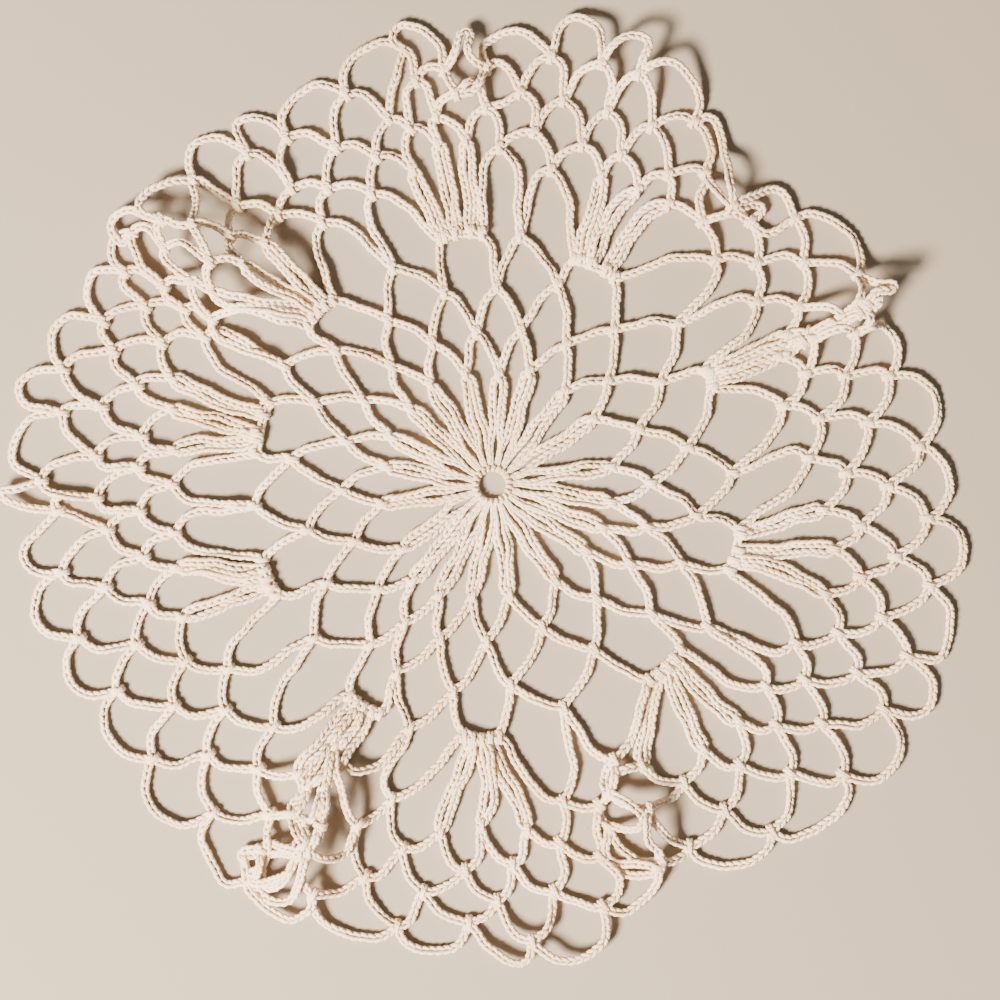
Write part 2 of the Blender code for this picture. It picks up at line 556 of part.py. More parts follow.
def sheet_outlines():
    """Outer outline and the gaps that are cut through, as simple closed lines."""
    axis, field = cord_field(lace_cords())
    loops = sorted(outlines(axis, field), key=lambda p: -abs(area_of(p)))
    rim = simpler(loops[0], RIM_KEEP_AREA, MIN_CORNERS)
    gaps = []
    turn = math.copysign(1.0, area_of(loops[0]))
    for loop in loops[1:]:
        if area_of(loop) * turn > 0 or widest_inside(loop, axis, field) < REST_GAP_MIN:
            continue
        gaps.append(simpler(loop, KEEP_AREA, MIN_CORNERS))
    return rim, gaps


def fill_between(rim, gaps):
    """Triangles that fill the rim outline round the gaps."""
    points, edges = [], []
    for loop in [rim] + gaps:
        start = len(points)
        count = len(loop)
        points.extend(Vector((float(p[0]), float(p[1]))) for p in loop)
        edges.extend((start + k, start + (k + 1) % count) for k in range(count))
    verts, _, faces, orig, _, _ = delaunay_2d_cdt(points, edges, [], 0, 1e-7)
    if len(verts) != len(points):
        raise RuntimeError("outlines of the lace cross each other")
    plan = np.array([(v.x, v.y) for v in verts])
    tris = np.array([f for f in faces if len(f) == 3])
    mid = plan[tris].mean(axis=1)
    keep = inside_loop(mid[:, 0], mid[:, 1], rim)
    for gap in gaps:
        near = np.all((mid > gap.min(axis=0)) & (mid < gap.max(axis=0)), axis=1) & keep
        index = np.nonzero(near)[0]
        if len(index):
            keep[index[inside_loop(mid[index, 0], mid[index, 1], gap)]] = False
    return plan, tris[keep]


def make_material():
    mat = bpy.data.materials.new("crochet_cotton")
    mat.use_nodes = True
    shader = mat.node_tree.nodes["Principled BSDF"]
    shader.inputs["Base Color"].default_value = COTTON
    shader.inputs["Roughness"].default_value = COTTON_ROUGHNESS
    return mat


def build_doily():
    """The whole doily as one closed sheet."""
    rim, gaps = sheet_outlines()
    plan, tris = fill_between(rim, gaps)
    x, y = plan[:, 0], plan[:, 1]
    under = relief(x, y)
    upper = under + thickness(x, y)
    middle = 0.5 * (plan.min(axis=0) + plan.max(axis=0))
    mesh = bmesh.new()
    low = [mesh.verts.new(((px - middle[0]) * MM, (py - middle[1]) * MM, z * MM))
           for px, py, z in zip(x, y, under)]
    high = [mesh.verts.new(((px - middle[0]) * MM, (py - middle[1]) * MM, z * MM))
            for px, py, z in zip(x, y, upper)]
    sides = {}
    for a, b, c in tris.tolist():
        ab = plan[b] - plan[a]
        ac = plan[c] - plan[a]
        if ab[0] * ac[1] - ab[1] * ac[0] < 0:
            b, c = c, b
        mesh.faces.new((high[a], high[b], high[c]))
        mesh.faces.new((low[c], low[b], low[a]))
        for p, q in ((a, b), (b, c), (c, a)):
            if (q, p) in sides:
                del sides[(q, p)]
            else:
                sides[(p, q)] = True
    for p, q in sides:
        mesh.faces.new((high[q], high[p], low[p]))
        mesh.faces.new((high[q], low[p], low[q]))
    data = bpy.data.meshes.new("lace_doily")
    mesh.to_mesh(data)
    mesh.free()
    data.validate()
    thing = bpy.data.objects.new("lace_doily", data)
    data.materials.append(make_material())
    bpy.context.scene.collection.objects.link(thing)
    return thing, middle, len(gaps)


for old in list(bpy.data.objects):
    bpy.data.objects.remove(old, do_unlink=True)

doily, ring_at, gap_count = build_doily()
print("gaps cut", gap_count, "triangles", len(doily.data.polygons), "ring at", -ring_at)
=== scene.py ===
"""Crocheted lace doily, with every chain stitch of its cotton thread, laid on a pale table top.

The doily is worked from the centre outwards in one thread: a ring, 20 long petal loops, three rounds of
20 chain arches, ten fans of five loops, then four rounds of 50 chain arches, the last of them the scalloped
edge. Angles are degrees clockwise from the far side of the doily, and distances are mm from its ring.
"""

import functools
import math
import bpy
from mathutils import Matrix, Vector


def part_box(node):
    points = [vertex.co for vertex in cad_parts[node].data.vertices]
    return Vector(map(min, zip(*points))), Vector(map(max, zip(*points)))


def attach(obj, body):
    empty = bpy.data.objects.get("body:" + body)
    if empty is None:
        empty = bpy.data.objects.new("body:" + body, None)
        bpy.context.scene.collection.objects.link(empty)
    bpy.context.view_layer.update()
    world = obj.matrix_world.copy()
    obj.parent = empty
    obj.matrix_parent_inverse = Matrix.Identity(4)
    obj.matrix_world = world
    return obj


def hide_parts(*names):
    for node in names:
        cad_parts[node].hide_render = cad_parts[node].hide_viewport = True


bl_info = {
    "name": "Crocheted lace doily",
    "version": (1, 0, 0),
    "blender": (4, 5, 0),
    "location": "View3D > Sidebar > Doily",
    "description": "Works a crocheted cotton doily stitch by stitch and lays it on a table top",
    "category": "Object",
}

import bpy
import numpy as np
from mathutils.kdtree import KDTree

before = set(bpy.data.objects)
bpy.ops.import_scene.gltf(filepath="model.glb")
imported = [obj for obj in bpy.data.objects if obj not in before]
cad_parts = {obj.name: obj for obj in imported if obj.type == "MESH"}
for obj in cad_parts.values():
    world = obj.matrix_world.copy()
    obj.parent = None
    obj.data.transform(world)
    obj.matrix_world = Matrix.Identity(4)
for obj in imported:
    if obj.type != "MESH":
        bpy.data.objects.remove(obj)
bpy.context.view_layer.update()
NODE = "lace_doily"
MM = 0.001                    # metres in a millimetre

# ---------------------------------------------------------------- layout, as in the part's solid, mm
CORD_WIDTH = 2.5              # width of one crocheted chain
RING_LINE = 4.4               # radius of the chain that forms the centre ring
RING_STEP_DEG = 6             # angle between the points of its line
PETAL_COUNT = 20
PETAL_OFFSET_DEG = 5.0        # where the first petal leaves the ring
PAIR_GAP = 2.35               # distance between the two chains of a closed loop
BAR_PLACES = 9                # places along a fan's bar where loops can start
BAR_SAG = 0.9                 # how far the ends of a bar lie nearer to the ring than its middle
BAR_HOOK = 0.6                # how far outside the middle of a bar its knots sit, under the loops
LOOP_LEAN = 0.35              # how far a closed loop leaves its bar in the direction of its tip
LOOP_SWING = 0.35             # share of its length in which a closed loop changes direction
LOOP_STEPS = 22               # steps along the middle line of a closed loop that isn't in a curve
LOOP_STARTS = {2: 2, 3: 4, 4: 6}  # place on the bar where each of these loops of a fan starts
LOOP_TURN = 1.3               # length of the turn at the tip of a closed loop
LOOP_ROOT = (0.45, 3.0)       # share of its width that a closed loop has at its root, and how fast it opens
BEND_PULL = 0.36              # how stiffly the chain of a pushed arch runs through its places
BEND_STEPS = 8                # steps along it between two places
ARCH_STEPS = 14               # steps along the chain from a foot of an arch to its peak
FLAT_ARCH = 0.15              # least slope, as a sine, at which an arch rises from the line of its feet
# how steeply an arch leaves its feet, how flat it is over its peak, and how much chain it takes
NET_BOW = (0.35, 0.35, 0.38)  # inner net
FAN_BOW = (0.12, 0.60, 0.40)  # wide loops of the fans
OUTER_BOW = (0.50, 0.75, 0.42)  # outer net
RIM_BOW = (0.72, 0.90, 0.44)  # scallops
SAME_PLACE = 0.5              # an arch with both feet in one place lies hidden on the next one
FIRST_FAN = 1                 # sections 1, 3, 5 ... 19 carry a fan, the others a plain arch
LOOP_COUNT = 5                # loops of a fan, and arches over it in each outer round

# one row for each of the 20 sections: petal tip, arch peak of the net round, arch peak that carries the fans
SECTIONS = (
    # petal_deg, petal_mm, net_deg, net_mm, knot_deg, knot_mm
    (3.5, 28.5, 1.3, 51.5, 6.3, 65.0),
    (18.0, 31.0, 18.2, 54.5, 25.3, 62.5),
    (37.5, 30.5, 38.0, 51.0, 49.0, 63.5),
    (57.0, 31.0, 58.7, 51.0, 63.8, 63.0),
    (81.5, 31.0, 79.3, 51.5, 87.2, 62.5),
    (98.5, 31.0, 98.7, 53.5, 105.0, 65.5),
    (111.5, 30.5, 112.6, 53.0, 123.5, 67.0),
    (125.5, 29.5, 129.1, 53.0, 136.2, 65.0),
    (147.0, 29.5, 148.3, 50.0, 162.4, 60.5),
    (171.5, 28.5, 175.0, 52.0, 182.6, 65.5),
    (190.5, 29.0, 190.9, 54.5, 198.8, 66.5),
    (206.0, 31.5, 207.2, 54.5, 210.3, 66.3),
    (220.0, 32.0, 217.5, 52.0, 229.5, 61.0),
    (234.5, 28.5, 239.7, 50.0, 247.5, 63.0),
    (260.5, 29.0, 256.3, 49.5, 265.0, 62.0),
    (280.0, 28.0, 277.6, 52.5, 284.0, 62.0),
    (295.5, 29.0, 294.9, 50.5, 299.8, 62.5),
    (313.0, 29.0, 310.6, 53.5, 315.0, 63.5),
    (328.5, 30.5, 327.7, 50.5, 335.4, 62.0),
    (346.5, 29.5, 346.1, 51.5, 352.9, 65.5),
)

# one row for each fan: the tips of its five loops in working order, and half the length of its bar
FANS = (
    # lead_deg, lead_mm, one_deg, one_mm, two_deg, two_mm, three_deg, three_mm, trail_deg, trail_mm, half_bar
    (10.6, 83.2, 19.6, 84.8, 26.3, 85.3, 32.2, 85.9, 44.8, 82.1, 5.7),
    (55.4, 83.2, 63.0, 85.5, 64.6, 86.5, 65.8, 81.0, 74.8, 78.3, 2.4),
    (85.2, 82.3, 94.4, 86.0, 100.7, 90.3, 108.2, 90.8, 117.6, 88.8, 5.6),
    (126.5, 88.2, 133.9, 88.6, 141.5, 87.7, 152.0, 82.2, 156.2, 77.8, 5.7),
    (167.5, 84.0, 174.4, 89.7, 182.0, 88.2, 188.6, 91.0, 197.8, 85.6, 4.6),
    (211.2, 79.0, 209.3, 88.8, 211.6, 90.6, 214.0, 89.5, 222.2, 84.4, 4.6),
    (235.2, 83.3, 246.9, 87.2, 255.2, 84.5, 255.2, 84.5, 261.5, 83.3, 4.9),
    (270.2, 83.2, 276.2, 83.0, 283.4, 85.5, 288.5, 87.8, 297.2, 84.2, 6.9),
    (300.6, 84.5, 304.6, 87.0, 311.5, 85.0, 316.8, 85.0, 327.1, 81.2, 4.6),
    (337.6, 81.7, 346.0, 84.3, 351.0, 89.6, 355.6, 89.4, 361.2, 87.6, 5.5),
)

# one row for each fan: peaks of the five arches that follow its loops, where the next round is hooked in
ROUND_ONE = (
    # lead_deg, lead_mm, one_deg, one_mm, two_deg, two_mm, three_deg, three_mm, trail_deg, trail_mm
    (14.8, 91.2, 21.3, 91.9, 29.5, 92.6, 38.7, 87.2, 50.0, 89.3),
    (60.0, 91.8, 64.2, 90.5, 65.3, 88.3, 70.5, 86.2, 78.6, 86.4),
    (88.2, 91.8, 96.4, 96.0, 104.1, 98.4, 113.3, 97.5, 122.0, 95.4),
    (130.3, 96.4, 138.6, 96.9, 147.3, 91.8, 159.4, 84.2, 161.6, 87.5),
    (169.4, 94.4, 177.1, 98.5, 184.1, 100.2, 193.9, 97.0, 201.6, 94.4),
    (206.8, 97.5, 209.3, 99.0, 211.5, 98.8, 219.6, 95.2, 229.9, 90.6),
    (240.2, 91.7, 251.1, 94.3, 258.4, 92.4, 258.4, 92.4, 265.8, 91.8),
    (272.9, 92.0, 277.9, 91.9, 285.6, 95.8, 293.3, 93.5, 299.7, 92.2),
    (304.0, 93.6, 308.3, 91.6, 313.5, 92.8, 321.6, 89.1, 331.0, 88.0),
    (340.6, 90.2, 347.0, 95.0, 351.4, 96.6, 359.0, 97.8, 366.8, 92.2),
)

ROUND_TWO = (
    # lead_deg, lead_mm, one_deg, one_mm, two_deg, two_mm, three_deg, three_mm, trail_deg, trail_mm
    (10.5, 101.4, 17.2, 101.3, 24.0, 101.7, 34.3, 97.8, 44.5, 95.7),
    (54.5, 99.2, 64.4, 99.8, 64.9, 97.0, 65.6, 91.5, 72.9, 95.7),
    (80.6, 98.5, 90.2, 102.4, 100.1, 106.2, 108.8, 106.8, 117.3, 106.3),
    (125.9, 105.3, 134.1, 107.4, 144.5, 103.5, 154.2, 92.2, 161.4, 93.5),
    (163.9, 100.5, 171.4, 106.6, 179.4, 107.8, 189.8, 106.8, 198.1, 106.8),
    (206.8, 104.6, 207.7, 106.0, 207.7, 103.3, 214.1, 102.7, 226.6, 101.6),
    (235.3, 100.4, 245.9, 101.0, 255.3, 103.8, 255.3, 103.8, 263.4, 100.5),
    (268.2, 102.8, 274.2, 103.1, 281.3, 103.4, 289.5, 104.2, 297.2, 101.2),
    (301.1, 99.5, 305.9, 104.0, 311.1, 101.3, 317.6, 98.0, 325.9, 93.0),
    (335.1, 96.4, 344.1, 98.9, 349.3, 106.6, 354.8, 101.3, 364.1, 102.0),
)

ROUND_THREE = (
    # lead_deg, lead_mm, one_deg, one_mm, two_deg, two_mm, three_deg, three_mm, trail_deg, trail_mm
    (14.6, 112.4, 19.6, 112.4, 29.1, 107.8, 40.8, 94.8, 48.7, 104.5),
    (60.2, 108.7, 64.3, 106.3, 64.9, 103.5, 67.3, 101.3, 74.7, 106.6),
    (84.9, 111.1, 94.4, 113.2, 103.0, 116.4, 112.5, 116.5, 119.9, 117.0),
    (129.6, 118.1, 141.2, 115.5, 151.5, 106.6, 155.8, 105.5, 156.8, 107.6),
    (165.3, 112.9, 175.1, 118.2, 183.2, 113.7, 192.3, 117.1, 203.7, 115.3),
    (213.4, 117.0, 212.3, 111.7, 211.7, 120.4, 220.5, 111.7, 231.2, 113.0),
    (241.3, 110.9, 249.7, 114.3, 258.6, 113.9, 258.6, 113.9, 266.6, 112.7),
    (270.6, 117.0, 279.6, 113.3, 285.1, 115.3, 292.8, 109.6, 300.1, 110.4),
    (304.9, 114.0, 308.7, 108.5, 315.6, 110.6, 323.5, 107.0, 329.4, 104.7),
    (339.5, 108.3, 348.5, 115.2, 353.4, 108.0, 359.3, 108.0, 367.8, 112.2),
)

# one row for each fan: the outermost points of the five scallops over its loops
RIM = (
    # lead_deg, lead_mm, one_deg, one_mm, two_deg, two_mm, three_deg, three_mm, trail_deg, trail_mm
    (10.4, 124.5, 18.4, 122.8, 24.4, 119.3, 32.3, 111.3, 43.8, 107.8),
    (54.5, 114.3, 63.7, 116.2, 64.6, 111.5, 66.5, 107.2, 69.6, 112.2),
    (78.2, 118.2, 89.6, 119.9, 97.6, 124.7, 109.8, 126.3, 116.5, 128.6),
    (125.2, 128.6, 133.6, 125.0, 146.8, 119.0, 154.3, 109.2, 156.6, 110.0),
    (161.9, 117.1, 168.4, 125.4, 177.2, 125.3, 186.3, 123.0, 199.5, 123.6),
    (205.2, 125.3, 214.2, 115.7, 211.2, 119.0, 215.1, 125.2, 225.4, 123.1),
    (237.5, 120.3, 244.6, 122.0, 254.2, 124.8, 254.2, 124.8, 261.5, 124.6),
    (268.9, 128.4, 274.5, 126.2, 281.6, 126.8, 290.1, 121.7, 297.4, 118.6),
    (302.5, 118.4, 304.3, 121.0, 308.6, 117.5, 319.1, 118.6, 325.2, 116.4),
    (333.0, 114.5, 342.5, 118.6, 349.4, 122.7, 356.8, 118.7, 362.6, 119.3),
)

# one row for each arch that was pushed out of its shape: the places that its chain passes before and after
# its peak; round 0 is the wide loops of the fans, 4 the scalloped edge
PUSHED = (
    # round, fan, place, before_deg, before_mm, after_deg, after_mm
    (0, 6, 1, 203.9, 81.3, 210.4, 73.2),
    (1, 4, 4, 156.5, 81.1, 158.7, 79.8),
    (1, 5, 5, 199.5, 91.3, 206.5, 87.1),
    (1, 6, 3, 210.7, 94.4, 212.1, 92.3),
    (2, 1, 4, 31.7, 96.8, 35.9, 91.5),
    (2, 4, 5, 155.8, 94.3, 161.9, 90.6),
    (2, 5, 1, 163.2, 94.0, 166.4, 99.8),
    (2, 6, 1, 202.1, 103.3, 206.0, 101.0),
    (2, 9, 3, 309.9, 95.7, 312.9, 97.8),
    (2, 10, 4, 352.2, 100.5, 357.4, 104.4),
    (2, 10, 5, 1.7, 99.1, 6.1, 99.9),
    (3, 1, 3, 26.0, 106.5, 33.0, 104.4),
    (3, 1, 4, 37.0, 95.3, 44.2, 100.5),
    (3, 1, 5, 47.8, 96.7, 51.6, 103.0),
    (3, 4, 4, 156.4, 98.2, 159.7, 102.9),
    (3, 4, 5, 162.5, 102.5, 161.5, 106.4),
    (3, 5, 1, 162.1, 109.0, 168.3, 110.7),
    (3, 6, 1, 206.6, 120.6, 210.9, 111.5),
    (3, 6, 2, 210.3, 107.5, 208.8, 118.6),
    (3, 6, 3, 208.3, 113.9, 211.3, 113.5),
    (3, 7, 5, 265.2, 106.6, 268.4, 113.0),
    (3, 9, 1, 302.4, 108.2, 306.6, 110.3),
    (3, 9, 2, 306.9, 106.9, 309.7, 104.2),
    (3, 9, 3, 313.8, 105.6, 316.8, 104.6),
    (3, 10, 2, 345.8, 105.4, 349.3, 112.5),
    (3, 10, 3, 350.9, 109.5, 353.9, 104.6),
    (3, 10, 4, 357.6, 102.3, 1.3, 110.0),
    (4, 1, 4, 30.3, 110.5, 35.3, 104.2),
    (4, 1, 5, 42.0, 100.4, 46.3, 106.2),
    (4, 2, 2, 62.2, 111.5, 63.3, 109.9),
    (4, 5, 3, 175.7, 122.3, 180.3, 119.9),
    (4, 6, 1, 203.3, 119.8, 210.6, 122.9),
    (4, 6, 2, 214.2, 116.3, 213.3, 112.9),
    (4, 6, 3, 211.4, 114.9, 211.5, 119.8),
    (4, 7, 5, 259.2, 120.8, 264.1, 118.8),
    (4, 8, 1, 267.3, 120.4, 269.5, 122.9),
    (4, 9, 2, 303.2, 114.8, 307.0, 117.6),
    (4, 9, 3, 307.8, 112.8, 311.9, 116.1),
    (4, 10, 3, 347.2, 118.9, 352.7, 116.1),
    (4, 10, 4, 355.0, 111.7, 357.0, 110.7),
    (4, 10, 5, 358.9, 113.9, 6.1, 115.6),
)

# one row for each closed loop of a fan that lies in a curve: which of the nine places on its bar it
# starts from, and the places that its middle line passes
CURVED = (
    # fan, loop, start, near_deg, near_mm, far_deg, far_mm
    (1, 2, 1, 20.5, 70.7, 20.1, 78.8),
    (1, 3, 3, 23.8, 70.5, 24.1, 78.5),
    (1, 4, 6, 28.6, 70.6, 29.5, 80.7),
    (3, 2, 1, 98.7, 71.9, 95.7, 79.6),
    (3, 4, 6, 106.5, 73.5, 106.9, 81.5),
    (4, 2, 2, 134.4, 73.0, 134.7, 81.0),
    (4, 3, 4, 138.8, 73.1, 140.7, 81.3),
    (4, 4, 6, 142.9, 68.8, 148.1, 75.2),
    (5, 3, 4, 181.1, 73.5, 180.7, 81.5),
    (7, 2, 2, 246.1, 71.0, 246.5, 79.0),
    (8, 2, 2, 278.6, 70.2, 277.7, 78.3),
    (8, 3, 3, 282.8, 70.0, 282.8, 78.0),
    (8, 4, 6, 286.8, 70.2, 287.5, 78.2),
    (10, 2, 1, 347.5, 72.7, 346.5, 78.9),
    (10, 3, 3, 351.7, 73.5, 351.4, 81.5),
    (10, 4, 6, 355.8, 73.7, 355.6, 81.7),
)

# one row for each bunch or lifted edge: its middle, the direction of its crest, half its length and width,
# and its height
FOLDS = (
    # deg, mm, crest_deg, half_length, half_width, height
    (309.0, 94.0, 311.0, 38.0, 15.0, 13.0),
    (317.0, 80.0, 322.0, 22.0, 10.0, 6.0),
    (356.0, 108.0, 356.0, 15.0, 7.0, 7.0),
    (19.0, 118.0, 109.0, 26.0, 14.0, 7.0),
    (39.0, 102.0, 34.0, 20.0, 9.0, 8.0),
    (63.5, 108.0, 62.0, 24.0, 10.0, 11.0),
    (269.0, 124.0, 269.0, 14.0, 6.0, 3.0),
    (207.0, 101.0, 205.0, 32.0, 14.0, 11.0),
    (215.0, 86.0, 222.0, 24.0, 8.0, 6.0),
    (156.0, 94.0, 160.0, 24.0, 9.0, 9.0),
    (172.0, 120.0, 262.0, 26.0, 12.0, 4.0),
)

# ---------------------------------------------------------------- chain stitch
# the thread's way through one chain stitch: along it in pitches, sideways and up in half widths and heights
STITCH = (
    # along, side, up
    (0.16, 0.00, -1.00),
    (0.00, -0.16, -0.45),
    (0.09, -0.32, 0.35),
    (0.44, -0.66, 0.96),
    (0.86, -0.98, 0.84),
    (1.28, -0.95, 0.24),
    (1.52, -0.38, -0.28),
    (1.52, 0.38, -0.28),
    (1.28, 0.95, 0.24),
    (0.86, 0.98, 0.84),
    (0.44, 0.66, 0.96),
    (0.09, 0.32, 0.35),
    (0.00, 0.16, -0.50),
    (0.42, 0.00, -1.00),
    (0.80, 0.00, -1.10),
)
STITCH_SAMPLES = 13           # rings of points along the thread in one stitch
STITCH_FORM = (3.0, 0.85, 0.55)  # rough length, width and height of a stitch, to follow how its thread turns
TURN_STEPS = 8                # steps between two samples in which that turn is followed
STITCH_HEIGHT = 0.50          # half the height of a stitch, in thread diameters
KNOT_SAMPLES = 11             # rings of points in one turn of a knot
KNOT_TURNS = 2.25             # turns of thread in a knot
KNOT_REACH = 1.5              # how far a knot reaches across the chain it goes round, in thread diameters
KNOT_HEIGHT = 1.05            # how far it reaches up and down, in thread diameters
KNOT_WIDTH = 0.75             # how far it reaches along that chain, in thread diameters
KNOT_SWAY = (0.2, 1.3)        # how far its thread sways from an even winding, mm, and how often in a turn
KNOT_START = 0.4              # how much the start of its winding varies, radians
THREAD_SIDES = 6              # points round the thread
SMOOTH_STEP = 0.25            # spacing of the points on a chain's smoothed line, mm
SMOOTH_REACH = 3              # points to each side that a smoothed point takes in
STITCH_UNEVEN = 0.06          # how much the width of a stitch varies
KNOT_UNEVEN = 0.08            # how much the reach of a knot varies
ROLL_WAVES = ((34.0, 0.65), (15.0, 0.35))  # wavelength, mm, and share of the waves in which a chain rolls
ROLL_END = 5.0                # length at a chain's ends over which it turns level, mm
CROWD_LEAST = 0.42            # share of its width that a chain keeps at the ring
CROWD_FIRM = 0.35             # share of its height and thickness that crowding leaves in any case


def linear(hex_colour):
    """Linear colour of an sRGB hex value."""
    parts = [int(hex_colour[k:k + 2], 16) / 255 for k in (1, 3, 5)]
    return tuple(c / 12.92 if c <= 0.04045 else ((c + 0.055) / 1.055) ** 2.4 for c in parts) + (1.0,)


# ================================================================ layout of the chains
def polar(deg, mm):
    """Plan point at an angle clockwise from the far side and a distance from the ring."""
    a = math.radians(deg)
    return np.array((mm * math.sin(a), mm * math.cos(a)))


def unit(v):
    return v / max(1e-9, float(np.hypot(v[0], v[1])))


def side_of(v):
    """Direction a quarter turn clockwise from v."""
    return np.array((v[1], -v[0]))


def bezier(p0, p1, p2, p3, steps):
    t = np.linspace(0.0, 1.0, steps + 1)[:, None]
    return ((1 - t) ** 3) * p0 + 3 * ((1 - t) ** 2) * t * p1 + 3 * (1 - t) * t * t * p2 + (t ** 3) * p3


def half_arch(foot, peak, other, steep, flat, slack):
    """Chain from the foot of an arch up to its peak; 'other' is the far foot."""
    run = peak - foot
    size = float(np.hypot(run[0], run[1]))
    along = unit(run)
    across = unit(other - foot)
    rise = along - across * float(along @ across)
    rise = unit(rise) if np.hypot(rise[0], rise[1]) > FLAT_ARCH else unit(peak)
    start = unit((1 - steep) * along + steep * rise)
    end = unit((1 - flat) * along + flat * across)
    return bezier(foot, foot + start * size * slack, peak - end * size * slack, peak, ARCH_STEPS)


def arch(left, peak, right, bow):
    """Whole chain arch through its peak."""
    rising = half_arch(left, peak, right, *bow)
    falling = half_arch(right, peak, left, *bow)[::-1]
    return np.vstack((rising, falling[1:]))


def smooth_line(places):
    """Chain through its places, as stiff as it is over an arch."""
    stops = (places[0],) + places + (places[-1],)
    line = [places[0][None]]
    for a, b, c, d in zip(stops, stops[1:], stops[2:], stops[3:]):
        pull = BEND_PULL * float(np.hypot(*(c - b)))
        line.append(bezier(b, b + unit(c - a) * pull, c - unit(d - b) * pull, c, BEND_STEPS)[1:])
    return np.vstack(line)


def bent_arch(place, left, peak, right, bow):
    """Chain arch at a place (round, fan, number), bent where the table of pushed arches has a row for it."""
    for row in PUSHED:
        if row[:3] == place:
            return smooth_line((left, polar(row[3], row[4]), peak, polar(row[5], row[6]), right))
    return arch(left, peak, right, bow)


def straight_loop(root, tip, lean):
    """Middle line of a closed loop that leaves its root along 'lean' and ends straight outwards."""
    swing = LOOP_SWING * float(np.hypot(*(tip - root)))
    return bezier(root, root + lean * swing, tip - unit(tip) * swing, tip, LOOP_STEPS)


def fan_loop(place, out, bar, tip):
    """Middle line of a closed loop at a place (fan, loop), in a curve where its table has a row for it."""
    for row in CURVED:
        if row[:2] == place:
            return smooth_line((bar[row[2]], polar(row[3], row[4]), polar(row[5], row[6]), tip))
    root = bar[LOOP_STARTS[place[1]]]
    return straight_loop(root, tip, unit(out + LOOP_LEAN * unit(tip - root)))


def closed_loop(axis, gap):
    """Long loop of chain whose two sides lie against each other, along its middle line and back."""
    reach = float(np.hypot(*(axis[-1] - axis[0])))
    step = np.gradient(axis, axis=0)
    step /= np.hypot(step[:, 0], step[:, 1])[:, None]
    normal = np.stack((step[:, 1], -step[:, 0]), axis=1)
    f = np.linspace(0.0, 1.0, len(axis))
    turn = LOOP_TURN / reach
    half = 0.5 * gap * np.sqrt(np.clip(1.0 - np.clip((f - 1 + turn) / turn, 0, 1) ** 2, 0, 1))
    half *= np.clip(LOOP_ROOT[0] + f * LOOP_ROOT[1], 0.0, 1.0)
    one = axis - normal * half[:, None]
    two = axis + normal * half[:, None]
    return np.vstack((one, two[::-1]))


class Lace:
    """Every chain as a plan line with its piece, and every knot where one chain hooks into another."""

    def __init__(self):
        self.cords = []       # (piece, plan line)
        self.knots = []       # (piece, plan point, direction of the chain it is hooked round)

    def chain(self, piece, line):
        self.cords.append((piece, line))

    def knot(self, piece, point, direction):
        self.knots.append((piece, point, unit(direction)))


def work_centre(lace, petal):
    ring = np.array([polar(a, RING_LINE) for a in range(0, 361, RING_STEP_DEG)])
    lace.chain("centre_petals", ring)
    for i in range(PETAL_COUNT):
        root = polar(PETAL_OFFSET_DEG + 360.0 * i / PETAL_COUNT, RING_LINE)
        lace.chain("centre_petals", closed_loop(straight_loop(root, petal[i], unit(root)), PAIR_GAP))
        lace.knot("centre_petals", root, side_of(unit(root)))


def work_inner_net(lace, petal, first, net, knot):
    """Three rounds of 20 arches; every other arch of the third carries the bar of a fan."""
    n = PETAL_COUNT
    bars = {}
    for i in range(n):
        j = (i + 1) % n
        lace.chain("inner_net", arch(petal[i], first[i], petal[j], NET_BOW))
        lace.knot("inner_net", petal[i], side_of(unit(petal[i])))
        lace.chain("inner_net", arch(first[i - 1], net[i], first[i], NET_BOW))
        lace.knot("inner_net", first[i], petal[j] - petal[i])
        lace.knot("inner_net", net[i], first[i] - first[i - 1])
        if i % 2 != FIRST_FAN:
            lace.chain("inner_net", arch(net[i], knot[i], net[j], NET_BOW))
            continue
        out = unit(knot[i])
        wide = side_of(out)
        half_bar = FANS[i // 2][-1]
        bar = [knot[i] + wide * half_bar * f - out * BAR_SAG * f * f for f in np.linspace(-1, 1, BAR_PLACES)]
        rising = half_arch(net[i], bar[0], net[j], *NET_BOW)
        falling = half_arch(net[j], bar[-1], net[i], *NET_BOW)[::-1]
        lace.chain("inner_net", np.vstack((rising, np.array(bar[1:-1]), falling)))
        bars[i] = bar
    return bars


def work_fans(lace, knot, tips, bars):
    """A wide loop, three closed loops and a wide loop over each bar."""
    n = PETAL_COUNT
    for f in range(len(FANS)):
        i = (FIRST_FAN + 2 * f) % n
        j = (i + 1) % n
        bar = bars[i]
        out = unit(knot[i])
        wide = side_of(out)
        lead, one, two, three, trail = tips[LOOP_COUNT * f:LOOP_COUNT * (f + 1)]
        lace.chain("wide_loops", bent_arch((0, f + 1, 1), knot[i - 1], lead, bar[0], FAN_BOW))
        for loop, tip in ((2, one), (3, two), (4, three)):
            axis = fan_loop((f + 1, loop), out, bar, tip)
            lace.chain("fan_loops", closed_loop(axis, PAIR_GAP))
            lace.knot("fan_loops", axis[0] + out * BAR_HOOK, wide)
        lace.chain("wide_loops", bent_arch((0, f + 1, 5), bar[-1], trail, knot[j], FAN_BOW))
        for end in (bar[0], bar[-1]):
            lace.knot("wide_loops", end + out * BAR_HOOK, wide)
        lace.knot("wide_loops", knot[j], side_of(unit(knot[j])))


